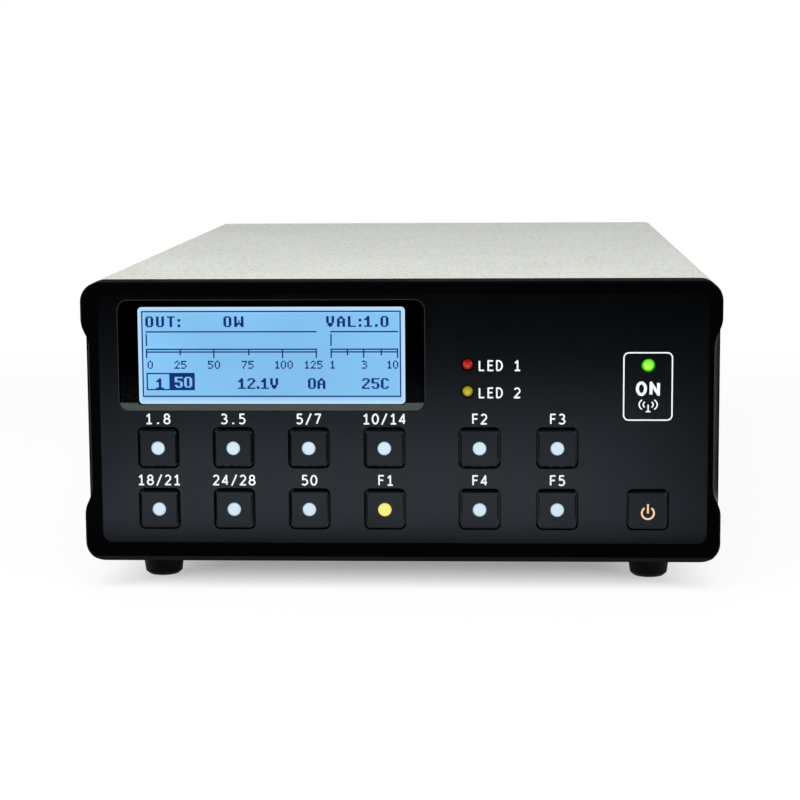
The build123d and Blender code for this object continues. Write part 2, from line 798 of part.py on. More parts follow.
foot_seats = [downward(place, foot_height - foot_seat) for place in foot_places]
foot_screws = screw_set(foot_seats, screw_radius, screw_length, screw_head_radius, screw_head_height)
save(foot_screws, "foot_screws")

# ------------------------------------------------------------------ heatsink
with BuildPart() as heatsink:
    with BuildSketch(facing(sink_end)):
        with Locations((0, sink_top - sink_base / 2)):
            Rectangle(sink_width, sink_base)
        with Locations((0, chassis_floor + sink_height / 2)):
            with GridLocations(fin_pitch, sink_height, fin_count, 1):
                Rectangle(fin_thickness, sink_height)
            with GridLocations(sink_width - edge_fin, sink_height, 2, 1):
                Rectangle(edge_fin, sink_height)
    extrude(amount=sink_length)
    with BuildSketch(Plane.XY.offset(chassis_floor)):
        with Locations(*sink_screw_places):
            Circle(screw_radius)
    extrude(amount=screw_length, mode=Mode.SUBTRACT)
    with BuildSketch(Plane.XY.offset(sink_top)):
        with Locations(*amp_screw_places):
            Circle(screw_radius)
    extrude(amount=-screw_length + board_thickness - screw_fit, mode=Mode.SUBTRACT)
save(heatsink, "heatsink")

sink_seats = [downward(place, case_bottom) for place in sink_screw_places]
heatsink_screws = screw_set(sink_seats, screw_radius, screw_length, screw_head_radius, screw_head_height)
save(heatsink_screws, "heatsink_screws")

# ------------------------------------------------------------------ amplifier board and what it carries
with BuildPart() as amplifier_board:
    with BuildSketch(Plane.XY.offset(sink_top)):
        with Locations((0, amp_mid)):
            RectangleRounded(amp_board_width, amp_board_length, 2.0)
        with Locations(*transistor_places):
            Rectangle(
                transistor_flange_length + 2 * transistor_gap,
                transistor_flange_width + 2 * transistor_gap,
                mode=Mode.SUBTRACT,
            )
        with Locations(*amp_screw_places):
            Circle(screw_radius + screw_fit, mode=Mode.SUBTRACT)
    extrude(amount=board_thickness)
save(amplifier_board, "amplifier_board")

amp_seats = [upward(place, amp_top) for place in amp_screw_places]
amplifier_screws = screw_set(amp_seats, screw_radius, screw_length, screw_head_radius, screw_head_height)
save(amplifier_screws, "amplifier_screws")

with BuildPart() as power_transistors:
    with BuildSketch(Plane.XY.offset(sink_top)):
        with Locations(*transistor_places):
            SlotOverall(transistor_flange_length, transistor_flange_width)
    extrude(amount=transistor_flange_thickness)
    with BuildSketch(Plane.XY.offset(sink_top + transistor_flange_thickness)):
        with Locations(*transistor_places):
            Rectangle(transistor_body, transistor_flange_width)
    extrude(amount=transistor_body_height)
save(power_transistors, "power_transistors")

core_y = front + amp_start + core_depth
core_z = amp_top + core_radius + core_plate
with BuildPart() as output_transformer:
    # twin ferrite sleeves between two end plates
    core_plane = Plane(origin=(0, core_y + core_length / 2, core_z), x_dir=(1, 0, 0), z_dir=(0, -1, 0))
    with BuildSketch(core_plane):
        with GridLocations(core_pitch, 1, 2, 1):
            Circle(core_radius)
            Circle(core_bore, mode=Mode.SUBTRACT)
    extrude(amount=core_length)
    for plate_y in (core_y - core_length / 2, core_y + core_length / 2 + core_plate):
        plate_plane = Plane(origin=(0, plate_y, core_z), x_dir=(1, 0, 0), z_dir=(0, -1, 0))
        with BuildSketch(plate_plane):
            Rectangle(core_pitch + 2 * core_radius, 2 * (core_radius + core_plate))
            with GridLocations(core_pitch, 1, 2, 1):
                Circle(core_bore, mode=Mode.SUBTRACT)
        extrude(amount=core_plate)
save(output_transformer, "output_transformer")

coil_y = front + amp_start + coil_depth
with BuildPart() as filter_coils:
    for side in (-1, 1):
        for index in range(coil_count):
            ring_x = side * coil_x
            ring_y = coil_y + index * coil_pitch
            section = Plane(origin=(ring_x, ring_y, amp_top + coil_thickness), x_dir=(1, 0, 0), z_dir=(0, -1, 0))
            with BuildSketch(section):
                with Locations((coil_radius - coil_thickness, 0)):
                    RectangleRounded(2 * coil_thickness - 0.4, 2 * coil_thickness, coil_thickness * 0.8)
            revolve(axis=Axis((ring_x, ring_y, 0), (0, 0, 1)))
save(filter_coils, "filter_coils")

relay_y = front + amp_start + relay_depth
with BuildPart() as relays:
    with BuildSketch(Plane.XY.offset(amp_top)):
        with Locations((0, relay_y)):
            with GridLocations(relay_pitch, 1, relay_count, 1):
                Rectangle(relay_width, relay_length)
    extrude(amount=relay_height)
    chamfer(relays.faces().group_by(Axis.Z)[-1].edges(), relay_edge)
save(relays, "relays")

# ------------------------------------------------------------------ rear panel
with BuildPart() as rear_panel:
    with BuildSketch(facing(case_depth)) as panel_outline:
        with Locations((0, panel_mid)):
            Rectangle(chassis_width, panel_height)
        fillet(panel_outline.vertices().group_by(Axis.Y)[-1], inner_bend)
        with Locations(fan_place):
            Circle(fan_bore, mode=Mode.SUBTRACT)
        with Locations(*fan_screw_places):
            Circle(fan_screw_radius + screw_fit, mode=Mode.SUBTRACT)
        with Locations(*coax_places.values()):
            Circle(coax_rear_radius + screw_fit, mode=Mode.SUBTRACT)
        with Locations(*coax_screw_places, *panel_screw_places):
            Circle(screw_radius + screw_fit, mode=Mode.SUBTRACT)
        with Locations(power_place):
            Rectangle(power_width + 2 * plate_fit, power_height + 2 * plate_fit, mode=Mode.SUBTRACT)
        with Locations(*jack_places):
            Circle(jack_bush_radius + screw_fit, mode=Mode.SUBTRACT)
        with Locations(ground_place):
            Circle(ground_radius + screw_fit, mode=Mode.SUBTRACT)
    extrude(amount=panel_thickness)
save(rear_panel, "rear_panel")

panel_seats = [rearward(place, case_depth) for place in panel_screw_places]
coax_seats = [rearward(place, case_depth + coax_flange_thickness) for place in coax_screw_places]
panel_screws = screw_set(
    panel_seats + coax_seats, screw_radius, screw_length, screw_head_radius, screw_head_height
)
save(panel_screws, "panel_screws")

# ------------------------------------------------------------------ fan
bearing_radius = fan_shaft_radius + shaft_clearance
hub_plate_front = panel_inner - fan_hub_plate
rotor_back = hub_plate_front - rotor_gap
rotor_front = fan_front + rotor_front_gap
with BuildPart() as fan_frame:
    with BuildSketch(facing_at(fan_place, panel_inner)):
        RectangleRounded(fan_size, fan_size, fan_corner)
        Circle(fan_bore, mode=Mode.SUBTRACT)
        with GridLocations(fan_hole_pitch, fan_hole_pitch, 2, 2):
            Circle(fan_screw_radius, mode=Mode.SUBTRACT)
    extrude(amount=fan_depth)
    # hub plate and struts on the outlet side
    with BuildSketch(facing_at(fan_place, panel_inner)):
        Circle(fan_hub_radius)
        with PolarLocations((fan_hub_radius + fan_bore) / 2, fan_strut_count, start_angle=22.0):
            Rectangle(fan_bore - fan_hub_radius + 2, fan_strut_width)
    extrude(amount=fan_hub_plate)
    # bearing tube for the rotor's shaft
    with BuildSketch(facing_at(fan_place, hub_plate_front)):
        Circle(bearing_radius + bearing_wall)
    extrude(amount=fan_depth - fan_hub_plate - rotor_front_gap - rotor_wall - rotor_gap)
    with BuildSketch(facing_at(fan_place, panel_inner - fan_hub_plate / 2)):
        Circle(bearing_radius)
    extrude(amount=fan_depth, mode=Mode.SUBTRACT)
save(fan_frame, "fan_frame")

# one blade in the rotor's own frame: the axis is local z and the blade reaches out along local x
blade_depth_mid = (rotor_back - rotor_front) / 2
rotor_radius = fan_bore - tip_gap
with BuildPart() as blade:
    for radius, chord, pitch in (
        (fan_hub_radius - rotor_wall / 2, blade_root_chord, blade_root_pitch),
        (rotor_radius + 1, blade_tip_chord, blade_tip_pitch),
    ):
        with BuildSketch(Plane(origin=(radius, 0, blade_depth_mid), x_dir=(0, 1, 0), z_dir=(1, 0, 0))):
            SlotOverall(chord, blade_thickness, rotation=90 - pitch)
    loft()
    with BuildSketch(Plane.XY):
        Circle(rotor_radius)
    extrude(amount=2 * blade_depth_mid, mode=Mode.INTERSECT)

rotor_plane = facing_at(fan_place, rotor_back)
with BuildPart(rotor_plane) as fan_rotor:
    # cup that covers the motor, closed on the inlet side
    with BuildSketch(rotor_plane):
        Circle(fan_hub_radius)
    extrude(amount=rotor_back - rotor_front)
    fillet(fan_rotor.faces().sort_by(Axis.Y)[0].edges(), rotor_wall * 0.7)
    with BuildSketch(rotor_plane):
        Circle(fan_hub_radius - rotor_wall)
    extrude(amount=rotor_back - rotor_front - rotor_wall, mode=Mode.SUBTRACT)
    with PolarLocations(0, blade_count):
        add(blade.part)
    # shaft, back through the bearing
    with BuildSketch(facing_at(fan_place, hub_plate_front)):
        Circle(fan_shaft_radius)
    extrude(amount=hub_plate_front - rotor_front - rotor_wall)
save(fan_rotor, "fan_rotor")

with BuildPart() as fan_guard:
    # flat stamped finger guard: concentric rings on crossed bars that end in eyes round the fan screws
    with BuildSketch(facing_at(fan_place, case_depth + guard_thickness)):
        for index in range(guard_rings):
            ring = guard_first_ring + index * guard_ring_step
            with BuildSketch(mode=Mode.ADD):
                Circle(ring + guard_bar / 2)
                Circle(ring - guard_bar / 2, mode=Mode.SUBTRACT)
        for angle in (45, 135):
            Rectangle(fan_hole_pitch * 2 ** 0.5, guard_bar, rotation=angle)
        with GridLocations(fan_hole_pitch, fan_hole_pitch, 2, 2):
            Circle(guard_eye_radius)
        with GridLocations(fan_hole_pitch, fan_hole_pitch, 2, 2):
            Circle(fan_screw_radius + screw_fit, mode=Mode.SUBTRACT)
    extrude(amount=guard_thickness)
save(fan_guard, "fan_guard")

fan_seats = [rearward(place, case_depth + guard_thickness) for place in fan_screw_places]
fan_screws = screw_set(fan_seats, fan_screw_radius, fan_screw_length, fan_head_radius, fan_head_height)
save(fan_screws, "fan_screws")


# ------------------------------------------------------------------ rear sockets
def make_coax(place):
    """Panel coaxial socket with a square flange, a 5/8 inch barrel and a hollow centre contact."""
    mouth = case_depth + coax_flange_thickness + coax_barrel_length
    insulator_face = mouth - coax_insulator_recess
    with BuildPart() as socket:
        with BuildSketch(rearward(place, case_depth)):
            Rectangle(coax_flange, coax_flange)
            with GridLocations(coax_hole_pitch, coax_hole_pitch, 2, 2):
                Circle(screw_radius + screw_fit, mode=Mode.SUBTRACT)
        extrude(amount=coax_flange_thickness)
        with BuildSketch(rearward(place, case_depth)):
            Circle(coax_barrel_radius)
        extrude(amount=coax_flange_thickness + coax_barrel_length)
        with BuildSketch(rearward(place, insulator_face)):
            Circle(coax_barrel_radius - coax_shell_wall)
        extrude(amount=coax_insulator_recess, mode=Mode.SUBTRACT)
        with BuildSketch(rearward(place, insulator_face)):
            Circle(coax_contact_radius)
        extrude(amount=coax_insulator_recess - coax_contact_recess)
        with BuildSketch(rearward(place, mouth - coax_contact_recess)):
            Circle(coax_contact_bore)
        extrude(amount=-coax_bore_depth, mode=Mode.SUBTRACT)
        # insulated rear and solder cup, inside the case
        with BuildSketch(facing_at(place, case_depth)):
            Circle(coax_rear_radius)
        extrude(amount=panel_thickness + coax_rear_length / 2)
        with BuildSketch(facing_at(place, case_depth)):
            Circle(coax_contact_radius)
        extrude(amount=panel_thickness + coax_rear_length)
    return socket


save(make_coax(coax_places["input"]), "input_socket")
save(make_coax(coax_places["antenna"]), "antenna_socket")

with BuildPart() as power_socket:
    with BuildSketch(rearward(power_place, case_depth)):
        RectangleRounded(power_width + 2 * power_flange, power_height + 2 * power_flange, power_corner)
    extrude(amount=power_flange_thickness)
    with BuildSketch(rearward(power_place, panel_inner - power_inner_depth)):
        Rectangle(power_width, power_height)
    extrude(amount=power_inner_depth + panel_thickness + power_reach)
    with BuildSketch(rearward(power_place, case_depth + power_reach)):
        with GridLocations(power_cell_pitch, 1, 2, 1):
            Rectangle(power_cell_width, power_cell_height)
    extrude(amount=-power_cell_depth, mode=Mode.SUBTRACT)
    # one flat contact on the floor of each cell
    contact_rise = (power_blade_thickness - power_cell_height) / 2
    with BuildSketch(rearward(power_place, case_depth + power_reach - power_cell_depth)):
        with Locations((0, contact_rise)):
            with GridLocations(power_cell_pitch, 1, 2, 1):
                Rectangle(power_blade_width, power_blade_thickness)
    extrude(amount=power_cell_depth - power_reach / 2)
save(power_socket, "power_socket")

with BuildPart() as control_jacks:
    for jack_place in jack_places:
        with BuildSketch(rearward(jack_place, panel_inner)):
            Circle(jack_bush_radius)
        extrude(amount=panel_thickness + jack_bush_reach)
        with BuildSketch(rearward(jack_place, case_depth)):
            RegularPolygon(jack_nut / 2, 6, major_radius=False)
        extrude(amount=jack_nut_thickness)
        with BuildSketch(rearward(jack_place, panel_inner - jack_body_depth)):
            Rectangle(jack_body_width, jack_body_height)
        extrude(amount=jack_body_depth)
        with BuildSketch(rearward(jack_place, case_depth + jack_bush_reach)):
            Circle(jack_bore)
        extrude(amount=-jack_bush_reach, mode=Mode.SUBTRACT)
        with BuildSketch(rearward(jack_place, case_depth)):
            Circle(jack_inner_bore)
        extrude(amount=-panel_thickness - jack_body_depth + 1, mode=Mode.SUBTRACT)
save(control_jacks, "control_jacks")

with BuildPart() as ground_post:
    with BuildSketch(rearward(ground_place, panel_inner - ground_inner)):
        Circle(ground_radius)
    extrude(amount=ground_inner + panel_thickness + ground_reach)
    with BuildSketch(rearward(ground_place, case_depth)):
        Circle(ground_washer_radius)
    extrude(amount=ground_washer_thickness)
    with BuildSketch(rearward(ground_place, case_depth + ground_washer_thickness)):
        RegularPolygon(ground_nut / 2, 6, major_radius=False)
    extrude(amount=ground_nut_thickness)
    with BuildSketch(facing_at(ground_place, panel_inner)):
        RegularPolygon(ground_nut / 2, 6, major_radius=False)
    extrude(amount=ground_nut_thickness)
save(ground_post, "ground_post")
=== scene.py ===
"""Looks of the desk-top linear amplifier: finishes, printing, display picture and studio.

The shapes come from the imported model, in metres in its own frame: +X to the user's right,
+Z up, front towards -Y, origin on the desk under the middle of the unit.  Every sub-assembly
is a class that holds its sizes, builds the pieces that only the eye needs and dresses its nodes.
"""

import logging
import math
from dataclasses import dataclass, field, replace
from enum import Enum
from typing import Any, Callable, Iterable, Sequence

import bmesh
import bpy
from mathutils import Matrix, Vector


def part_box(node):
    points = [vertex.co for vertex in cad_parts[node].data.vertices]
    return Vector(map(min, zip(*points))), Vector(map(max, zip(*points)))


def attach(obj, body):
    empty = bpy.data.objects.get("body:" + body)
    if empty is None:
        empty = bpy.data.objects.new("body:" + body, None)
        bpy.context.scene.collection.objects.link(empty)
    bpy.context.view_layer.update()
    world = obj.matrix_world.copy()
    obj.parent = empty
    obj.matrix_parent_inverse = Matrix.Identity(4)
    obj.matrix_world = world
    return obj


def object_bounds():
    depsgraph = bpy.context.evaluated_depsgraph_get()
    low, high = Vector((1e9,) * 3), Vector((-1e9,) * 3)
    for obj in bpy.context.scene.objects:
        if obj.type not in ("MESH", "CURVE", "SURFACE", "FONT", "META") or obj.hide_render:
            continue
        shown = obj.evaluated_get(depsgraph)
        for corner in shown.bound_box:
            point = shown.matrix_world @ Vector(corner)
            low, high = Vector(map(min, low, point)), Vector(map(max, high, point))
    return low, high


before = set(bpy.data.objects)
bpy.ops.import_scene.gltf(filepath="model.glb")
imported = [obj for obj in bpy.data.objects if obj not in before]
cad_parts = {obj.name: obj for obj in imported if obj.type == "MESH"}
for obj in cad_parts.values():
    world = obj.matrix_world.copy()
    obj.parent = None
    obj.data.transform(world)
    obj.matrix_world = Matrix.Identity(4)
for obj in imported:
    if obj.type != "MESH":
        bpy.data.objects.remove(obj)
CAD_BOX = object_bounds()

MM = 0.001
FOIL = -139.45              # Y of the foil's front, in millimetres
MITRE = 0.3                 # keeps the mitre of a very sharp corner short
SHARP = 0.7                 # cosine below which a pen stroke turns a corner
LAYER = 0.002               # from one printed layer to the next, in millimetres
WHITE = (1.0, 1.0, 1.0, 1.0)
BLACK = (0.0, 0.0, 0.0, 1.0)
LOG = logging.getLogger("amplifier")

Point = tuple[float, float]
Spot = tuple[float, float, float]
Quad = tuple[Point, Point, Point, Point]


def linear(shade: str) -> tuple[float, float, float, float]:
    """Turns an sRGB hex colour into the linear values that the shaders use.

    Args:
        shade: the colour as "#rrggbb".

    Returns:
        Linear red, green, blue, and an alpha of 1.
    """
    channels = [int(shade[i:i + 2], 16) / 255 for i in (1, 3, 5)]
    red, green, blue = (c / 12.92 if c <= 0.04045 else ((c + 0.055) / 1.055) ** 2.4 for c in channels)
    return red, green, blue, 1.0


def add_node(tree: bpy.types.NodeTree, kind: str, inputs: dict[Any, Any] | None = None,
             **settings: Any) -> bpy.types.Node:
    """Adds a node to a shader tree with its settings, values and links.

    Args:
        tree: the tree that gets the node.
        kind: Blender's name for the type of node.
        inputs: what each input holds, by its name or number; a socket is linked, a value is set.
        settings: the node's own properties.

    Returns:
        The new node.
    """
    node = tree.nodes.new(kind)
    for name, value in settings.items():
        setattr(node, name, value)
    for key, value in (inputs or {}).items():
        if isinstance(value, bpy.types.NodeSocket):
            tree.links.new(value, node.inputs[key])
        else:
            node.inputs[key].default_value = value
    return node


def maths(tree: bpy.types.NodeTree, operation: str, *values: Any) -> Any:
    """Adds a math node over numbers or sockets and gives its result."""
    return add_node(tree, "ShaderNodeMath", dict(enumerate(values)), operation=operation).outputs[0]


def vectors(tree: bpy.types.NodeTree, operation: str, *values: Any) -> Any:
    """Adds a vector math node over vectors or sockets and gives its result."""
    node = add_node(tree, "ShaderNodeVectorMath", dict(enumerate(values)), operation=operation)
    return node.outputs["Value" if operation in ("LENGTH", "DOT_PRODUCT") else "Vector"]


def spread(tree: bpy.types.NodeTree, value: Any, start: float, end: float, low: float, high: float,
           kind: str = "LINEAR") -> Any:
    """Spreads a value over a new range.

    Args:
        tree: the tree that gets the node.
        value: the socket with the value.
        start: where the value gives low.
        end: where it gives high.
        low: the result at start.
        high: the result at end.
        kind: how it goes from one to the other.

    Returns:
        The socket with the new values.
    """
    return add_node(tree, "ShaderNodeMapRange", {
        "Value": value, "From Min": start, "From Max": end, "To Min": low, "To Max": high},
        interpolation_type=kind).outputs[0]


def empty_tree(owner: bpy.types.Material | bpy.types.World) -> bpy.types.NodeTree:
    """Turns on the shader tree of a material or world, and empties it."""
    owner.use_nodes = True
    owner.node_tree.nodes.clear()
    return owner.node_tree


def lift(shade: str, factor: float) -> str:
    """Makes a hex colour lighter, by a factor above 1, or darker."""
    parts = (min(255, round(int(shade[i:i + 2], 16) * factor)) for i in (1, 3, 5))
    return "#" + "".join(f"{part:02x}" for part in parts)


# ---------------------------------------------------------------------------- finishes
class Lay(Enum):
    """Direction in which a metal was worked, as the stretch of its marks along X, Y and Z."""

    ALONG_X = (0.03, 1.0, 1.0)
    ALONG_Y = (1.0, 0.03, 1.0)
    ALL_OVER = (1.0, 1.0, 1.0)


@dataclass(frozen=True)
class Recipe:
    """A material in the making: its tree and its principled shader."""

    tree: bpy.types.NodeTree
    shader: bpy.types.Node

    def set(self, **values: Any) -> None:
        """Sets the shader's own inputs, named with _ for each space."""
        for name, value in values.items():
            self.shader.inputs[name.replace("_", " ")].default_value = value

    def place(self, stretch: Sequence[float] = (1.0, 1.0, 1.0)) -> Any:
        """Gives the point on the part in metres, stretched along each axis."""
        spot = add_node(self.tree, "ShaderNodeTexCoord").outputs["Object"]
        return add_node(self.tree, "ShaderNodeMapping",
                        {"Vector": spot, "Scale": tuple(stretch)}).outputs[0]

    def off(self, centre: Point) -> Any:
        """Gives the way from an axis along Y, which stands at this X and Z in metres, to the point."""
        spot = add_node(self.tree, "ShaderNodeTexCoord").outputs["Object"]
        return vectors(self.tree, "SUBTRACT", spot, (centre[0], 0.0, centre[1]))

    def grain(self, size: float, stretch: Sequence[float] = (1.0, 1.0, 1.0),
              detail: float = 3.0) -> Any:
        """Gives an uneven pattern from 0 to 1.

        Args:
            size: size of one grain in millimetres.
            stretch: factor along X, Y and Z.
            detail: how many finer layers lie on it.

        Returns:
            The socket that carries the pattern.
        """
        return add_node(self.tree, "ShaderNodeTexNoise", {
            "Vector": self.place(stretch), "Scale": 1.0 / (size * MM), "Detail": detail}).outputs[0]

    def between(self, pattern: Any, low: float, high: float, start: float = 0.3,
                end: float = 0.7) -> Any:
        """Turns a pattern's levels from start to end into values from low to high."""
        return spread(self.tree, pattern, start, end, low, high)

    def blend(self, factor: Any, first: Any, second: Any) -> Any:
        """Goes from one colour to another, each a hex string or a socket, as the factor rises."""
        first, second = (linear(c) if isinstance(c, str) else c for c in (first, second))
        return add_node(self.tree, "ShaderNodeMix", {0: factor, 6: first, 7: second},
                        data_type="RGBA").outputs[2]

    def disc(self, centre: Point, pattern: Any, waver: float, inner: float, outer: float) -> Any:
        """Gives 0 in the middle of a round face and 1 at its rim, with a wavering edge.

        Args:
            centre: X and Z of its axis in metres.
            pattern: what makes the edge waver.
            waver: by how much, in millimetres.
            inner: radius where the rim begins.
            outer: radius where it is full.

        Returns:
            The socket with the share of the rim.
        """
        flat = vectors(self.tree, "MULTIPLY", self.off(centre), (1.0, 0.0, 1.0))
        out = vectors(self.tree, "LENGTH", flat)
        edge = maths(self.tree, "MULTIPLY_ADD", pattern, waver * MM, out)
        return self.between(edge, 0.0, 1.0, inner * MM, outer * MM)

    def lay(self, colour: Any = None, gloss: Any = None, glow: Any = None) -> None:
        """Links the sockets with the base colour, the roughness and the light given off."""
        for name, socket in (("Base Color", colour), ("Roughness", gloss), ("Emission Color", glow)):
            if socket is not None:
                self.tree.links.new(socket, self.shader.inputs[name])

    def relief(self, height: Any, depth: float) -> None:
        """Lets a pattern stand out by so many millimetres."""
        bump = add_node(self.tree, "ShaderNodeBump", {
            "Height": height, "Distance": depth * MM, "Strength": 1.0})
        self.tree.links.new(bump.outputs[0], self.shader.inputs["Normal"])


@dataclass(frozen=True)
class Finish:
    """One real finish: its colour and gloss, and the marks that its making leaves."""

    name: str
    colour: str
    roughness: float
    metallic: float = 0.0
    specular: float = 0.5

    def make(self) -> bpy.types.Material:
        """Builds the material.

        Returns:
            A new material with a principled shader and this finish's marks.
        """
        material = bpy.data.materials.new(self.name)
        tree = empty_tree(material)
        shader = add_node(tree, "ShaderNodeBsdfPrincipled", {
            "Base Color": linear(self.colour), "Roughness": self.roughness,
            "Metallic": self.metallic, "Specular IOR Level": self.specular})
        add_node(tree, "ShaderNodeOutputMaterial", {"Surface": shader.outputs["BSDF"]})
        self.mark(Recipe(tree, shader))
        material.diffuse_color = linear(self.colour)
        return material

    def mark(self, on: Recipe) -> None:
        """Adds the marks of this kind of finish; a plain one has none.

        Args:
            on: the material in the making.
        """

    def gloss(self, on: Recipe, pattern: Any, low: float, high: float, *levels: float) -> Any:
        """Lets the roughness wander with a pattern, between two shares of its own value."""
        return on.between(pattern, self.roughness * low, self.roughness * high, *levels)


@dataclass(frozen=True)
class MouldedPlastic(Finish):
    """Injection-moulded plastic or rubber from a spark-eroded tool: a fine even grain.

    Handling rubs the grain shiny and a little paler on the outer edges; the paler edges are also a
    painted highlight, where edges would catch the light.
    """

    grain_mm: float = 0.35      # real grain about 0.1 mm, drawn coarser so that it shows
    grain_depth: float = 0.004
    rubbed_and_highlight: str = ""            # colour of the rubbed edges and their painted highlight, none if empty
    rubbed_and_highlight_mm: float = 0.35
    tint: str = "#ffffff"       # colour of the sheen

    def mark(self, on: Recipe) -> None:
        """Adds grain, uneven gloss, and rubbed edges with a painted highlight (Args as in
        Finish.mark).
        """
        fine = on.grain(self.grain_mm)
        broad = on.grain(14.0)
        on.set(Specular_Tint=linear(self.tint))
        colour = on.blend(on.between(fine, 0.0, 1.0, 0.35, 0.75), self.colour, lift(self.colour, 1.25))
        # Convex edges found by the bevel are made paler in patches: wear, and also a painted
        # highlight.
        if self.rubbed_and_highlight:
            round_edge = add_node(on.tree, "ShaderNodeBevel", {"Radius": self.rubbed_and_highlight_mm * MM},
                                  samples=4)
            flat = add_node(on.tree, "ShaderNodeNewGeometry").outputs["Normal"]
            turn = vectors(on.tree, "DOT_PRODUCT", round_edge.outputs[0], flat)
            edge = on.between(turn, 0.55, 0.0, 0.86, 0.99)
            patchy = maths(on.tree, "MULTIPLY", edge, on.between(on.grain(3.0), 0.3, 1.0))
            colour = on.blend(patchy, colour, self.rubbed_and_highlight)
        on.lay(colour, self.gloss(on, broad, 0.9, 1.12))
        on.relief(fine, self.grain_depth)


@dataclass(frozen=True)
class SatinFoil(Finish):
    """Satin-coated plastic foil with a back print, laid into the moulding.

    The coat is fine enough to mirror pale surroundings as a soft cool sheen.
    """

    sheen: str = "#ffffff"
    grain_mm: float = 0.5       # real coat about 0.05 mm, drawn coarser so that it shows
    grain_depth: float = 0.0006

    def mark(self, on: Recipe) -> None:
        """Adds the coat's grain and its cloudy gloss (Args as in Finish.mark)."""
        on.set(Specular_Tint=linear(self.sheen))
        fine = on.grain(self.grain_mm, detail=2.0)
        cloud = on.grain(9.0, detail=4.0)
        on.lay(on.blend(fine, self.colour, lift(self.colour, 1.5)), self.gloss(on, cloud, 0.93, 1.09))
        on.relief(fine, self.grain_depth)


@dataclass(frozen=True)
class PowderCoat(Finish):
    """Fine-texture powder coat on sheet steel: melted grains leave a pebbled skin.

    Small specks are lighter and darker, and the skin wanders slightly in tone.
    """

    pebble_mm: float = 1.0      # real pebbles about 0.5 mm, drawn coarser so that they show
    pebble_depth: float = 0.05
    dark: str = "#000000"
    light: str = "#ffffff"

    def mark(self, on: Recipe) -> None:
        """Adds pebbles, specks and slow changes of tone (Args as in Finish.mark)."""
        pebbles = add_node(on.tree, "ShaderNodeTexVoronoi", {
            "Vector": on.place(), "Scale": 1.0 / (self.pebble_mm * MM), "Smoothness": 0.6},
            feature="SMOOTH_F1").outputs["Distance"]
        speck = on.grain(self.pebble_mm * 0.8, detail=2.0)
        tone = on.blend(on.between(on.grain(35.0), 0.0, 0.12), self.colour, self.dark)
        tone = on.blend(on.between(speck, 0.0, 0.55, 0.52, 0.72), tone, self.light)
        tone = on.blend(on.between(speck, 0.45, 0.0, 0.3, 0.47), tone, self.dark)
        on.lay(tone, self.gloss(on, pebbles, 1.0, 0.8, 0.1, 0.6))
        on.relief(pebbles, self.pebble_depth)


@dataclass(frozen=True)
class BareMetal(Finish):
    """Metal without paint, worked in one direction: drawn, turned, extruded or tumbled."""

    metallic: float = 1.0
    lay: Lay = Lay.ALL_OVER
    line_mm: float = 0.5        # spacing of the marks, drawn about twice the real one
    line_depth: float = 0.004
    dull: str = "#808080"       # colour of handled and oxidised spots

    def mark(self, on: Recipe) -> None:
        """Adds working marks and dull spots (Args as in Finish.mark)."""
        lines = on.grain(self.line_mm, self.lay.value, detail=4.0)
        spots = on.grain(4.0, detail=5.0)
        on.lay(on.blend(on.between(spots, 0.0, 0.55, 0.45, 0.8), self.colour, self.dull),
                 self.gloss(on, lines, 0.75, 1.3))
        on.relief(lines, self.line_depth)


@dataclass(frozen=True)
class SolderMask(Finish):
    """Green solder mask over copper tracks: the tracks show through as paler raised lines."""

    track: str = "#1f6a3c"
    track_mm: float = 5.0
    track_depth: float = 0.03

    def mark(self, on: Recipe) -> None:
        """Adds tracks under the mask (Args as in Finish.mark)."""
        tracks = add_node(on.tree, "ShaderNodeTexBrick", {
            "Vector": on.place(), "Scale": 1.0 / (self.track_mm * MM), "Mortar Size": 0.06,
            "Color1": BLACK, "Color2": BLACK, "Mortar": WHITE}, offset=0.35).outputs[0]
        on.lay(on.blend(tracks, self.colour, self.track), self.gloss(on, on.grain(3.0), 0.8, 1.2))
        on.relief(tracks, self.track_depth)


@dataclass(frozen=True)
class SinteredBody(Finish):
    """Pressed and fired ceramic or ferrite: a dense body with fine dark and pale specks."""

    speck: str = "#404040"
    speck_mm: float = 0.6
    speck_depth: float = 0.01

    def mark(self, on: Recipe) -> None:
        """Adds specks and a slightly sandy skin (Args as in Finish.mark)."""
        speck = on.grain(self.speck_mm, detail=5.0)
        on.lay(on.blend(on.between(speck, 0.0, 0.6, 0.5, 0.8), self.colour, self.speck),
                 self.gloss(on, speck, 0.9, 1.15))
        on.relief(speck, self.speck_depth)


@dataclass(frozen=True)
class ClearAcrylic(Finish):
    """Polished clear acrylic sheet: mirror-smooth, with the faint waves of casting.

    Its anti-reflection coat leaves a quarter of the bare sheet's reflection, so the index is low.
    """

    ior: float = 1.22
    wave_depth: float = 0.0008

    def mark(self, on: Recipe) -> None:
        """Makes the sheet clear and adds its waves (Args as in Finish.mark)."""
        on.set(Transmission_Weight=1.0, IOR=self.ior)
        waves = on.grain(18.0, detail=1.0)
        on.lay(gloss=self.gloss(on, waves, 0.6, 1.6))
        on.relief(waves, self.wave_depth)


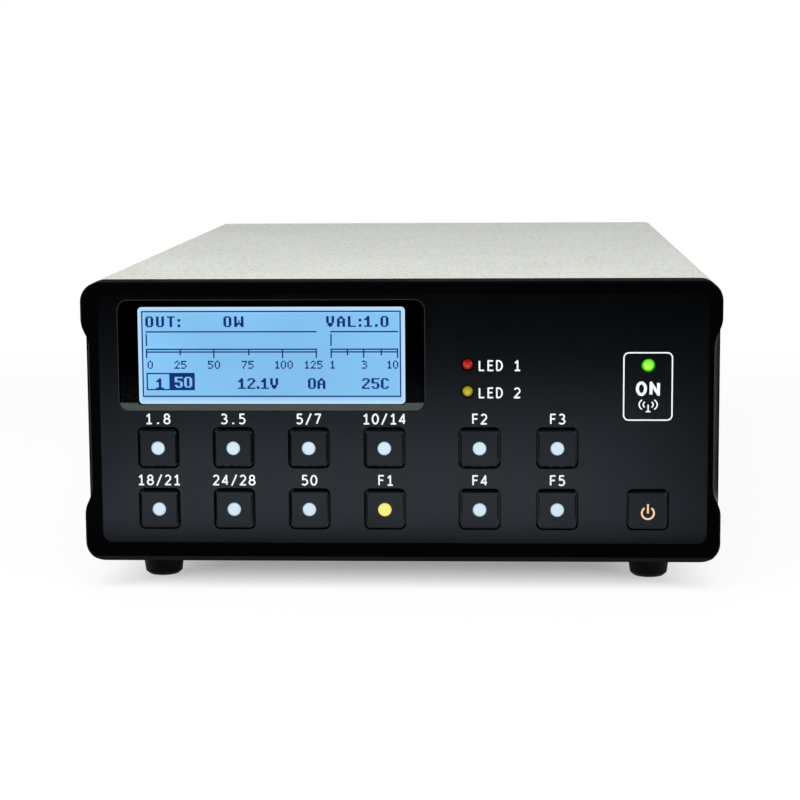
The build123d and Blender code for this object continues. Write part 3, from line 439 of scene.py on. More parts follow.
@dataclass(frozen=True)
class LightPipe(Finish):
    """Frosted polycarbonate light pipe: milky, and glowing from behind when its lamp is lit."""

    # colour of the rim: painted shade where the pipe meets its hole
    rim: str = "#8fa3ae"
    centre: Point = (0.0, 0.0)  # its axis in X and Z, in metres
    radius: float = 1.7
    lit: bool = False

    def mark(self, on: Recipe) -> None:
        """Adds the frosting, the darker rim of painted shade and the glow (Args as in Finish.mark)."""
        on.set(Subsurface_Weight=0.25, Subsurface_Scale=0.6 * MM)
        frost = on.grain(0.5, detail=4.0)
        # Painted shade: the rim is darkened by its distance from the axis.
        rim = on.disc(self.centre, frost, 0.25, 0.85 * self.radius, 1.12 * self.radius)
        shade = on.blend(rim, self.colour, self.rim)
        gloss = self.gloss(on, frost, 0.8, 1.2)
        if self.lit:
            on.lay(glow=shade, gloss=gloss)
            on.set(Emission_Strength=0.92, Base_Color=linear("#15130c"))
        else:
            on.lay(shade, gloss)
        on.relief(frost, 0.003)


@dataclass(frozen=True)
class LampEpoxy(Finish):
    """Tinted epoxy of a 3 mm indicator lamp: a clear wet dome over a glowing heart, or, when it is
    out, a paler heart that is a painted highlight.
    """

    heart_glow_and_highlight: str = "#ff4030"
    centre: Point = (0.0, 0.0)  # its axis in X and Z, in metres
    radius: float = 1.45
    heart_drop: float = 0.2     # the heart lies a little below the axis
    lit: bool = False

    def mark(self, on: Recipe) -> None:
        """Adds the paler heart and darker rim, painted highlight and painted shade on an unlit lamp,
        the flow marks and the glow (Args as in Finish.mark).
        """
        on.set(Coat_Weight=0.6, Coat_Roughness=0.04, Subsurface_Weight=0.3, Subsurface_Scale=0.8 * MM)
        flow = on.grain(0.8, detail=3.0)
        middle = (self.centre[0], self.centre[1] - self.heart_drop * MM)
        # Paler heart and darker rim: on an unlit lamp a painted highlight and painted shade, on the
        # lit one its glow.
        rim = on.disc(middle, flow, 0.3, 0.25 * self.radius, 1.05 * self.radius)
        shade = on.blend(rim, self.heart_glow_and_highlight, self.colour)
        on.lay(shade)
        if self.lit:
            on.lay(glow=shade)
            on.set(Emission_Strength=0.9)
        on.relief(flow, 0.004)


@dataclass(frozen=True)
class ScreenInk(Finish):
    """Screen-printed ink: nearly flat, a touch uneven where the mesh lifted."""

    ink_depth: float = 0.002

    def mark(self, on: Recipe) -> None:
        """Adds the mesh's uneven cover (Args as in Finish.mark)."""
        cover = on.grain(0.4, detail=3.0)
        on.lay(on.blend(on.between(cover, 0.0, 0.35, 0.3, 0.8), self.colour, lift(self.colour, 0.78)),
                 self.gloss(on, cover, 0.9, 1.1))
        on.relief(cover, self.ink_depth)


@dataclass(frozen=True)
class DarkCrystal(Finish):
    """Switched liquid-crystal dots: nearly black, but they let a little of the blue light through."""

    def mark(self, on: Recipe) -> None:
        """Adds the light that leaks unevenly through the crystal (Args as in Finish.mark)."""
        leak = on.grain(6.0, detail=2.0)
        on.lay(glow=on.blend(leak, lift(self.colour, 0.85), lift(self.colour, 1.1)))
        on.set(Emission_Strength=1.0, Base_Color=linear("#04060c"))


@dataclass(frozen=True)
class BackLight(Finish):
    """Edge-lit diffuser of the display: even light that gets paler towards the rim."""

    rim: str = "#c0e4fe"
    size: Point = (67.2, 24.5)  # of the lit area, in millimetres
    centre: Point = (0.0, 0.0)  # its middle in X and Z, in metres
    band: float = 1.9           # width of the paler rim, in millimetres

    def mark(self, on: Recipe) -> None:
        """Adds the paler rim and the slow clouds of the diffuser (Args as in Finish.mark)."""
        near = vectors(on.tree, "ABSOLUTE", on.off(self.centre))
        axes = add_node(on.tree, "ShaderNodeSeparateXYZ", {0: near})
        across, up = (on.between(axes.outputs[axis], 0.0, 1.0, (wide / 2 - self.band) * MM,
                                 wide / 2 * MM) for axis, wide in zip((0, 2), self.size))
        rim = maths(on.tree, "MAXIMUM", across, up)
        cloud = on.blend(on.grain(24.0, detail=1.0), self.colour, lift(self.colour, 1.12))
        on.lay(glow=on.blend(rim, cloud, self.rim))
        on.set(Emission_Strength=1.0, Base_Color=linear("#0a1016"))


@dataclass(frozen=True)
class LitMark(Finish):
    """Translucent print over a small lamp: glows evenly, a little deeper at its edges."""

    deep: str = "#f0a862"

    def mark(self, on: Recipe) -> None:
        """Adds the glow (Args as in Finish.mark)."""
        cloud = on.grain(0.6, detail=2.0)
        on.lay(glow=on.blend(on.between(cloud, 0.0, 0.6), self.colour, self.deep))
        on.set(Emission_Strength=0.9, Base_Color=linear("#20160c"))


MADE: dict[Finish, bpy.types.Material] = {}


def made(finish: Finish) -> bpy.types.Material:
    """Gives the material of a finish, built the first time that it is asked for."""
    if finish not in MADE:
        MADE[finish] = finish.make()
    return MADE[finish]


def link(name: str, data: Any) -> bpy.types.Object:
    """Adds an object to the scene that shows this mesh, curve, lamp or camera."""
    thing = bpy.data.objects.new(name, data)
    bpy.context.scene.collection.objects.link(thing)
    return thing


@dataclass(frozen=True)
class Piece:
    """What a piece is called, its finish, the record's slot for that, which is not used, and the body
    it rides on.
    """

    name: str
    finish: Finish
    slot: str
    body: str = "case"

    def join(self, shape: bpy.types.Mesh | bpy.types.Curve) -> None:
        """Joins a shape, in metres, to the model as this piece."""
        thing = link(self.name, shape)
        shape.materials.append(made(self.finish))
        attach(thing, self.body)
        LOG.info("%s: %s", self.name, self.finish.name)


# ---------------------------------------------------------------------------- flat shapes
def ribbon(path: Sequence[Point], width: float, closed: bool = False) -> list[Quad]:
    """Gives a path a width, with mitred corners.

    Args:
        path: its points in millimetres.
        width: width of the band in millimetres.
        closed: whether the last point joins the first.

    Returns:
        The band's four-cornered faces.
    """
    count = len(path)
    sides: list[tuple[Point, Point]] = []
    for i, (x, z) in enumerate(path):
        before = path[i - 1] if (i or closed) else None
        after = path[(i + 1) % count] if (i + 1 < count or closed) else None
        turns = []
        for a, b in ((before, (x, z)), ((x, z), after)):
            if a and b:
                length = math.dist(a, b)
                turns.append((-(b[1] - a[1]) / length, (b[0] - a[0]) / length))
        nx, nz = sum(t[0] for t in turns) / len(turns), sum(t[1] for t in turns) / len(turns)
        size = max(nx * nx + nz * nz, MITRE)
        nx, nz = nx / size * width / 2, nz / size * width / 2
        sides.append(((x + nx, z + nz), (x - nx, z - nz)))
    pairs = zip(sides, sides[1:] + (sides[:1] if closed else []))
    return [(a[0], a[1], b[1], b[0]) for a, b in pairs]


def pen(path: Sequence[Point], width: float) -> list[list[Sequence[Point]]]:
    """Draws a pen stroke: a band for each smooth run and a round dab at each sharp turn.

    Args:
        path: its points in millimetres.
        width: width of the pen in millimetres.

    Returns:
        One group of faces for each run and each dab.
    """
    runs: list[list[Point]] = [[path[0]]]
    dabs: list[list[Sequence[Point]]] = []
    for i in range(1, len(path)):
        runs[-1].append(path[i])
        if i + 1 < len(path):
            before, after = (math.atan2(b[1] - a[1], b[0] - a[0])
                             for a, b in (path[i - 1:i + 1], path[i:i + 2]))
            if math.cos(after - before) < SHARP:
                dabs.append([arc(*path[i], width / 2, width / 2, 0, 330, 11)])
                runs.append([path[i]])
    return [ribbon(run, width) for run in runs] + dabs


def arc(x: float, z: float, rx: float, rz: float, start: float, end: float,
        steps: int = 14) -> list[Point]:
    """Gives points along an arc.

    Args:
        x: middle across.
        z: middle up.
        rx: half-width.
        rz: half-height.
        start: first angle in degrees, from the right and anticlockwise.
        end: last angle in degrees.
        steps: number of runs.

    Returns:
        The points from start to end.
    """
    angles = (math.radians(start + (end - start) * i / steps) for i in range(steps + 1))
    return [(x + rx * math.cos(a), z + rz * math.sin(a)) for a in angles]


def rounded(x: float, z: float, width: float, height: float, radius: float,
            steps: int = 6) -> list[Point]:
    """Gives the outline of a rounded rectangle.

    Args:
        x: its middle across.
        z: its middle up.
        width: its width.
        height: its height.
        radius: its corner radius.
        steps: runs in each corner.

    Returns:
        The points round it, anticlockwise.
    """
    ring: list[Point] = []
    for sx, sz, start in ((1, 1, 0), (-1, 1, 90), (-1, -1, 180), (1, -1, 270)):
        ring += arc(x + sx * (width / 2 - radius), z + sz * (height / 2 - radius),
                    radius, radius, start, start + 90, steps)
    return ring


def rectangle(left: float, low: float, right: float, high: float) -> Quad:
    """Gives the four corners of a rectangle, anticlockwise."""
    return (left, low), (right, low), (right, high), (left, high)


def print_flat(piece: Piece, groups: Iterable[Sequence[Sequence[Point]]], depth: float) -> None:
    """Makes a thin printed piece from flat faces in X and Z that look forwards.

    Args:
        piece: what it is called and wears.
        groups: groups of faces in millimetres; each lies 2 microns nearer than the one before.
        depth: Y of the first group, in millimetres.
    """
    points: list[Vector] = []
    faces: list[list[int]] = []
    for level, group in enumerate(groups):
        y = depth - LAYER * level
        for face in group:
            ring = list(face)
            if sum(a[0] * b[1] - b[0] * a[1] for a, b in zip(ring, ring[1:] + ring[:1])) < 0:
                ring.reverse()
            faces.append(list(range(len(points), len(points) + len(ring))))
            points += [Vector((x * MM, y * MM, z * MM)) for x, z in ring]
    mesh = bpy.data.meshes.new(piece.name)
    mesh.from_pydata(points, [], faces)
    piece.join(mesh)


# ---------------------------------------------------------------------------- round shapes
def middle_of(node: str) -> Point:
    """Gives the X and Z of the middle of a node, in millimetres."""
    low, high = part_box(node)
    return (low[0] + high[0]) / 2 / MM, (low[2] + high[2]) / 2 / MM


def metres(spot: Point) -> Point:
    """Turns a place in millimetres into metres."""
    return spot[0] * MM, spot[1] * MM


def wire(piece: Piece, paths: Iterable[Sequence[Spot]], radius: float) -> None:
    """Makes round wires along paths in space.

    Args:
        piece: what they are called and wear.
        paths: the points of each wire, in millimetres.
        radius: radius of the wire in millimetres.
    """
    curve = bpy.data.curves.new(piece.name, "CURVE")
    curve.dimensions = "3D"
    curve.bevel_depth = radius * MM
    curve.bevel_resolution = 2
    curve.use_fill_caps = True
    for path in paths:
        line = curve.splines.new("POLY")
        line.points.add(len(path) - 1)
        for point, place in zip(line.points, path):
            point.co = (*(value * MM for value in place), 1.0)
    piece.join(curve)


def helix(middle: Point, start: float, end: float, radius: float, pitch: float,
          steps: int = 36) -> list[Spot]:
    """Gives the path of a screw thread along Y.

    Args:
        middle: X and Z of its axis in millimetres.
        start: Y where it begins.
        end: Y where it ends.
        radius: radius of the path.
        pitch: how far it climbs in a turn.
        steps: runs in a turn.

    Returns:
        Its points in millimetres.
    """
    count = round((end - start) / pitch * steps)
    turns = ((math.tau * i / steps, start + (end - start) * i / count) for i in range(count + 1))
    return [(middle[0] + radius * math.cos(a), y, middle[1] + radius * math.sin(a)) for a, y in turns]


def skin(piece: Piece, solids: Iterable[Sequence[Sequence[Spot]]], closed: bool = False) -> None:
    """Makes solids, each as a skin over a row of rings with as many points each.

    Args:
        piece: what they are called and wear.
        solids: the rings of each solid, in millimetres.
        closed: whether the last ring joins the first; otherwise both ends get a cap.
    """
    form = bmesh.new()
    for rings in solids:
        rows = [[form.verts.new(Vector(spot) * MM) for spot in ring] for ring in rings]
        for first, second in zip(rows, rows[1:] + (rows[:1] if closed else [])):
            for i, corner in enumerate(first):
                form.faces.new((corner, first[i - 1], second[i - 1], second[i]))
        if not closed:
            form.faces.new(rows[0])
            form.faces.new(rows[-1])
    bmesh.ops.recalc_face_normals(form, faces=form.faces)
    mesh = bpy.data.meshes.new(piece.name)
    form.to_mesh(mesh)
    form.free()
    piece.join(mesh)


def turned(middle: Point, profile: Sequence[Point], steps: int = 48) -> list[list[Spot]]:
    """Turns a profile round an axis along Y.

    Args:
        middle: X and Z of the axis in millimetres.
        profile: its corners as radius and Y.
        steps: runs in the turn.

    Returns:
        One ring of points for each step, for a closed skin.
    """
    angles = (math.tau * i / steps for i in range(steps))
    return [[(middle[0] + r * math.cos(a), y, middle[1] + r * math.sin(a)) for r, y in profile]
            for a in angles]


# ---------------------------------------------------------------------------- lettering
RING = arc(0.5, 0.5, 0.5, 0.5, 90, 450, 28)
STROKES: dict[str, list[list[Point]]] = {       # each sign's strokes in a cell one unit wide and high
    " ": [],
    "0": [RING],
    "1": [[(0.1, 0.76), (0.54, 1.0), (0.54, 0.0)], [(0.04, 0.0), (1.0, 0.0)]],
    "2": [arc(0.46, 0.7, 0.46, 0.3, 155, -22) + [(0.0, 0.0), (1.0, 0.0)]],
    "3": [arc(0.44, 0.755, 0.46, 0.245, 145, -90), arc(0.44, 0.255, 0.54, 0.255, 90, -145)],
    "4": [[(0.74, 0.0), (0.74, 1.0), (0.0, 0.27), (1.0, 0.27)]],
    "5": [[(0.92, 1.0), (0.16, 1.0), (0.13, 0.57)] + arc(0.42, 0.31, 0.54, 0.31, 112, -140)],
    "7": [[(0.0, 1.0), (1.0, 1.0), (0.32, 0.0)]],
    "8": [arc(0.5, 0.755, 0.41, 0.245, 90, 450, 20), arc(0.5, 0.26, 0.5, 0.26, 90, 450, 20)],
    ".": [[(0.5, -0.05), (0.5, 0.12)]],
    "/": [[(0.05, -0.1), (0.95, 1.08)]],
    "D": [[(0.05, 0.0), (0.05, 1.0)] + arc(0.36, 0.5, 0.62, 0.5, 90, -90) + [(0.05, 0.0)]],
    "E": [[(0.98, 1.0), (0.12, 1.0), (0.12, 0.0), (1.0, 0.0)], [(0.12, 0.53), (0.88, 0.53)]],
    "F": [[(1.0, 1.0), (0.14, 1.0), (0.14, 0.0)], [(0.14, 0.52), (0.9, 0.52)]],
    "L": [[(0.16, 1.0), (0.16, 0.0), (1.0, 0.0)]],
    "N": [[(0.04, 0.0), (0.04, 1.0), (0.96, 0.0), (0.96, 1.0)]],
    "O": [RING],
}


@dataclass(frozen=True)
class StrokeLetters:
    """Plain panel lettering, drawn with a round pen; sizes in millimetres."""

    height: float = 2.78
    width: float = 1.8
    advance: float = 2.27
    stroke: float = 0.4
    point_weight: float = 1.25  # a point is drawn with a broader pen

    def write(self, words: str, middle: float, base: float) -> list[list[Quad]]:
        """Draws a line of lettering.

        Args:
            words: what to write.
            middle: X of its middle in millimetres.
            base: Z of the line that it stands on in millimetres.

        Returns:
            One group of faces for each stroke.
        """
        start = middle - ((len(words) - 1) * self.advance + self.width) / 2
        across, up = self.width - self.stroke, self.height - self.stroke
        low = base + self.stroke / 2
        groups: list[list[Quad]] = []
        for place, sign in enumerate(words):
            left = start + place * self.advance + self.stroke / 2
            weight = self.stroke * (self.point_weight if sign == "." else 1.0)
            for stroke in STROKES[sign]:
                groups += pen([(left + u * across, low + v * up) for u, v in stroke], weight)
        return groups


LARGE_SIGNS = {
    "0": ".####./##..##/##..##/##..##/##..##/##..##/##..##/.####.",
    "1": "..##../.###../####../..##../..##../..##../..##../######",
    "2": ".####./##..##/....##/...##./..##../.##.../##..../######",
    "5": "######/##..../##..../#####./....##/....##/##..##/.####.",
    "A": "..##../.####./##..##/##..##/######/##..##/##..##/##..##",
    "C": ".####./##..##/##..../##..../##..../##..../##..##/.####.",
    "L": "##..../##..../##..../##..../##..../##..../##..../######",
    "O": ".####./##..##/##..##/##..##/##..##/##..##/##..##/.####.",
    "T": "######/..##../..##../..##../..##../..##../..##../..##..",
    "U": "##..##/##..##/##..##/##..##/##..##/##..##/##..##/.####.",
    "V": "##..##/##..##/##..##/##..##/##..##/.####./.####./..##..",
    "W": "##...##/##...##/##...##/##.#.##/##.#.##/#######/###.###/##...##",
    ":": "../../##/##/../../##/##",
    ".": "../../../../../../##/##",
}
SMALL_SIGNS = {
    "0": ".##./#..#/#..#/#..#/#..#/.##.",
    "1": ".#./##./.#./.#./.#./###",
    "2": ".##./#..#/...#/..#./.#../####",
    "3": "###./...#/.##./...#/...#/###.",
    "5": "####/#.../###./...#/...#/###.",
    "7": "####/...#/..#./..#./.#../.#..",
}


def dots(signs: dict[str, str], words: str, gap: int = 1) -> list[str]:
    """Sets the dot-matrix signs of some words side by side.

    Args:
        signs: the rows of dots of each sign, parted by a slash.
        words: what to write.
        gap: clear columns from one sign to the next.

    Returns:
        The dots of each row, as "#" for a dark dot.
    """
    return [("." * gap).join(row) for row in zip(*(signs[sign].split("/") for sign in words))]


# ---------------------------------------------------------------------------- sub-assemblies
class Assembly:
    """A sub-assembly: pieces that only the eye needs, and nodes of the model that get a finish."""

    def build(self) -> None:
        """Makes the pieces that only the eye needs; none unless the assembly says so."""

    def finishes(self) -> Iterable[tuple[Finish, Sequence[str]]]:
        """Gives each finish with the nodes that get it."""
        return ()

    def dress(self) -> None:
        """Gives the nodes their finishes."""
        for finish, nodes in self.finishes():
            for node in nodes:
                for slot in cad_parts[node].material_slots:
                    slot.material = made(finish)
                LOG.info("%s: %s", node, finish.name)


@dataclass
class FrontPanel(Assembly):
    """The moulded front, the satin foil let into it and what is printed on the foil."""

    ink_height: float = 0.015
    row_bases: Point = (42.45, 26.86)       # Z of the figures over the two rows of keys
    band_columns: tuple[float, ...] = (-61.1, -42.05, -23.0, -3.95)
    band_words: tuple[tuple[str, ...], ...] = (
        ("1.8", "3.5", "5/7", "10/14"), ("18/21", "24/28", "50", "F1"))
    function_columns: Point = (19.9, 39.35)
    function_words: tuple[tuple[str, ...], ...] = (("F2", "F3"), ("F4", "F5"))
    first_nudge: float = 0.2                # F1 stands a little to the right of its key's middle
    lamp_column: float = 24.87
    lamp_bases: Point = (55.92, 49.08)
    frame_middle: Point = (61.8, 52.05)     # the framed field round the green lamp
    frame_size: Point = (12.0, 16.9)
    frame_radius: float = 1.25
    frame_line: float = 0.34
    state_place: Point = (61.83, 49.67)
    mast_foot: Point = (61.88, 45.75)
    mast_height: float = 1.75
    foot_reach: float = 0.6
    mast_line: float = 0.32
    wave_radii: Point = (1.25, 2.25)
    wave_squash: float = 0.72
    wave_angle: float = 48.0                # half of each wave, in degrees
    moulding: Finish = MouldedPlastic(
        "moulded_abs_black", "#020203", 0.32, specular=0.03, rubbed_and_highlight="#0b0c0d", grain_depth=0.005)
    foil: Finish = SatinFoil("satin_foil_charcoal", "#010203", 0.18, specular=0.53, sheen="#dcecff")
    ink: Finish = ScreenInk("white_screen_ink", "#f2f5f6", 0.5)

    def build(self) -> None:
        """Prints the figures over the keys, the lamp marks and the framed lamp field."""
        letters = StrokeLetters()
        for name, columns, rows in (("band_figures", self.band_columns, self.band_words),
                                    ("function_figures", self.function_columns, self.function_words)):
            groups: list[list[Quad]] = []
            for base, row in zip(self.row_bases, rows):
                for middle, words in zip(columns, row):
                    nudge = self.first_nudge if words == "F1" else 0.0
                    groups += letters.write(words, middle + nudge, base)
            self.print(name, groups)
        close = replace(letters, advance=2.24)
        marks = [close.write(f"LED {place}", self.lamp_column, base)
                 for place, base in enumerate(self.lamp_bases, 1)]
        self.print("lamp_figures", marks[0] + marks[1])
        edge = rounded(*self.frame_middle, *self.frame_size, self.frame_radius)
        bold = StrokeLetters(height=3.65, width=2.75, advance=3.3, stroke=0.74)
        self.print("lamp_field", [ribbon(edge, self.frame_line, closed=True)]
                   + bold.write("ON", *self.state_place) + self.aerial())

    def aerial(self) -> list[list[Quad]]:
        """Draws a mast with two waves on each side."""
        middle, base = self.mast_foot
        top = base + self.mast_height
        lines = [[(middle, base), (middle, top)],
                 [(middle - self.foot_reach, base), (middle + self.foot_reach, base)]]
        lines += [arc(middle, top, radius, radius * self.wave_squash, turn - self.wave_angle,
                      turn + self.wave_angle, 10) for radius in self.wave_radii for turn in (0, 180)]
        return [ribbon(line, self.mast_line) for line in lines]

    def print(self, name: str, groups: list[list[Quad]]) -> None:
        """Prints groups of faces on the foil under a piece name."""
        print_flat(Piece(name, self.ink, "pipe_white"), groups, FOIL - self.ink_height)

    def finishes(self) -> Iterable[tuple[Finish, Sequence[str]]]:
        """Gives the moulding and the foil with their finishes."""
        return (self.moulding, ("front_bezel",)), (self.foil, ("front_overlay",))


@dataclass
class Display(Assembly):
    """The clear window with its black back print, and the picture on the display behind it."""

    window_depth: float = 1.5
    print_margin: float = 0.5               # window beyond the back print, both sides together
    print_corner: float = 2.1
    print_depths: tuple[float, ...] = (-0.06, -0.02, -0.04)     # back print, lit ground and dots
    view_size: Point = (67.2, 24.5)
    view_middle: Point = (-32.3, 59.75)
    view_corner: float = 1.0
    dot: float = 0.34
    picture_left: float = -65.0
    picture_top: float = 71.02
    columns: int = 192
    rows: int = 64
    window_corner: float = 2.4
    lip_top: float = 47.45                  # Z of the lip's upper edge, just under the lit area
    lip_ear: float = 0.45                   # how much higher it is on both sides of it
    lip_depth: float = 0.3
    lip_inset: float = 0.1
    lip_rise: float = 0.12                  # its slope starts this far above its foot
    lip_least: float = 0.15                 # it ends where less than this is left of its height
    lip_proud: float = 0.003
    lip_bead: float = 0.02                  # thickness of its upper edge
    ear_step: float = 0.01                  # half of the step up to each ear
    rim_gap: float = 0.18                   # window's edge to the middle of the rim's line
    rim_line: float = 0.16
    rim_height: float = 0.01
    meter_row: int = 15
    figure_row: int = 37
    title_row: int = 4
    reading_row: int = 50
    box_row: int = 46
    box_left: int = 3
    box_columns: int = 18
    glass: Finish = ClearAcrylic("coated_clear_acrylic", "#ffffff", 0.012)
    # painted highlight: a thin grey line round the window for its lit edge
    rim: Finish = MouldedPlastic("window_edge_painted_highlight", "#24292c", 0.4, specular=0.1, grain_depth=0.001)
    # painted highlight: the lip is grey, and its rubbed edge paler, for a lit bevel
    lip: Finish = MouldedPlastic("window_lip_painted_highlight_grey", "#393f3d", 0.45, specular=0.2,
                                 rubbed_and_highlight="#6c7271", rubbed_and_highlight_mm=0.12, grain_depth=0.003)
    back_print: Finish = MouldedPlastic("black_back_print", "#010102", 0.9, specular=0.0,
                                        grain_depth=0.001)
    crystal: Finish = DarkCrystal("dark_blue_crystal", "#0d3078", 0.6, specular=0.0)
    can: Finish = BareMetal("tin_plated_display_frame", "#6e7276", 0.4, lay=Lay.ALONG_X)

    def build(self) -> None:
        """Makes the back print, the lit ground, the dark dots, and the window's lip and rim, whose
        grey is a painted highlight.
        """
        low, high = (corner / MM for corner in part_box("display_window"))
        width, height = high[0] - low[0], high[2] - low[2]
        middle = middle_of("display_window")
        outer = rounded(*middle, width - self.print_margin, height - self.print_margin,
                        self.print_corner)
        inner = rounded(*self.view_middle, *self.view_size, self.view_corner)
        following = inner[1:] + inner[:1]
        ring = list(zip(outer, outer[1:] + outer[:1], following, inner))
        fan_out = [(self.view_middle, *pair) for pair in zip(inner, following)]
        ground = BackLight("edge_lit_blue_diffuser", "#7cb8e6", 0.6, specular=0.1, size=self.view_size,
                           centre=metres(self.view_middle))
        pieces = (Piece("window_back_print", self.back_print, "moulding_black"),
                  Piece("display_ground", ground, "lcd_blue"),
                  Piece("display_dots", self.crystal, "lcd_blue"))
        for piece, faces, depth in zip(pieces, (ring, fan_out, self.picture()), self.print_depths):
            print_flat(piece, [faces], FOIL + self.window_depth + depth)
        self.add_lip(low, high)
        # Painted highlight: a thin grey ring round the window, for its lit edge.
        gap = self.rim_gap
        edge = rounded(*middle, width + 2 * gap, height + 2 * gap, self.window_corner + gap)
        print_flat(Piece("window_rim", self.rim, "face_charcoal"),
                   [ribbon(edge, self.rim_line, closed=True)], FOIL - self.rim_height)

    def add_lip(self, low: Vector, high: Vector) -> None:
        """Lays the sloping lip along the window's lower edge, round its corners; its grey is a painted
        highlight for a bevel that catches the light.

        Args:
            low: the window's lowest corner in millimetres.
            high: its highest corner.
        """
        radius = self.window_corner - self.lip_inset
        floor = low[2] + self.lip_inset
        left, right = (self.view_middle[0] + side * self.view_size[0] / 2 for side in (-1, 1))
        path = arc(low[0] + self.lip_inset + radius, floor + radius, radius, radius, 180, 270, 12)
        path += [(end + side * self.ear_step, floor) for end in (left, right) for side in (-1, 1)]
        path += arc(high[0] - self.lip_inset - radius, floor + radius, radius, radius, 270, 360, 12)
        front = FOIL - self.lip_proud
        rings = []
        for x, z in path:
            top = self.lip_top + (0.0 if left < x < right else self.lip_ear)
            if z + self.lip_least < top:
                rings.append([(x, front, top), (x, front - self.lip_bead, top),
                              (x, FOIL - self.lip_depth, z + self.lip_rise), (x, front, z)])
        skin(Piece("window_lip", self.lip, "moulding_black"), [rings])

    def cell(self, column: int, row: int, wide: int = 1, high: int = 1) -> Quad:
        """Gives the rectangle of a block of dots.

        Args:
            column: its first column.
            row: its first row, from the top.
            wide: number of columns.
            high: number of rows.

        Returns:
            Its corners in millimetres.
        """
        left = self.picture_left + column * self.dot
        top = self.picture_top - row * self.dot
        return rectangle(left, top - high * self.dot, left + wide * self.dot, top)

    def runs(self, rows: Sequence[str], column: int, row: int, mark: str = "#") -> list[Quad]:
        """Turns rows of dots into rectangles, one for each unbroken run.

        Args:
            rows: the dots of each row.
            column: column of the first dot.
            row: row of the first dot.
            mark: which sign stands for a dark dot.

        Returns:
            The rectangles in millimetres.
        """
        found: list[Quad] = []
        for down, line in enumerate(rows):
            start = None
            for across, sign in enumerate(line + " "):
                if sign == mark and start is None:
                    start = across
                elif sign != mark and start is not None:
                    found.append(self.cell(column + start, row + down, across - start))
                    start = None
        return found

    def border(self, column: int, row: int, wide: int, high: int) -> list[Quad]:
        """Draws a border one dot thick, round a block of dots like that of cell()."""
        return [self.cell(column, row, wide), self.cell(column, row + high - 1, wide),
                self.cell(column, row + 1, 1, high - 2),
                self.cell(column + wide - 1, row + 1, 1, high - 2)]

    def meter(self, long_ticks: Sequence[int], short_ticks: Sequence[int]) -> list[Quad]:
        """Draws one meter: its bound, its double bar and its ticks.

        Args:
            long_ticks: columns of the long ticks, from the meter's first column to its last.
            short_ticks: columns of the short ticks.

        Returns:
            Its rectangles.
        """
        left, top = long_ticks[0], self.meter_row
        wide = long_ticks[-1] - left + 1
        parts = [self.cell(left, top, wide), self.cell(left, top + 2, 1, 9),
                 self.cell(left, top + 13, wide), self.cell(left, top + 15, wide)]
        for ticks, long in ((long_ticks, 6), (short_ticks, 4)):
            parts += [self.cell(tick, top + 14, 1, long) for tick in ticks]
        return parts

    def picture(self) -> list[Quad]:
        """Draws the whole picture: border, two meters, their figures and the readings."""
        parts = self.border(0, 0, self.columns, self.rows)
        parts += self.meter((3, 53, 104, 129), (28, 79)) + self.meter((140, 164, 189), (152, 177))
        figures = (("0", 4), ("25", 24), ("50", 49), ("75", 74), ("100", 99), ("125", 121), ("1", 140),
                   ("3", 163), ("10", 182))
        titles = (("OUT:", 3), ("0W", 61), ("VAL:1.0", 137))
        readings = (("1", 10), ("12.1V", 71), ("0A", 123), ("25C", 163))
        for signs, row, gap, texts in ((SMALL_SIGNS, self.figure_row, 1, figures),
                                       (LARGE_SIGNS, self.title_row, 2, titles),
                                       (LARGE_SIGNS, self.reading_row, 1, readings)):
            for words, column in texts:
                parts += self.runs(dots(signs, words, gap), column, row)
        wide = self.box_columns
        dark = ["..." + line + ".." for line in dots(LARGE_SIGNS, "50")]
        block = ["." * wide] * 3 + dark + ["." * wide] * 2
        parts += self.border(self.box_left, self.box_row, wide, len(block))
        return parts + self.runs(block, self.box_left + wide, self.box_row, ".")

    def finishes(self) -> Iterable[tuple[Finish, Sequence[str]]]:
        """Gives the window and the display's can with their finishes."""
        return (self.glass, ("display_window",)), (self.can, ("lcd_module",))


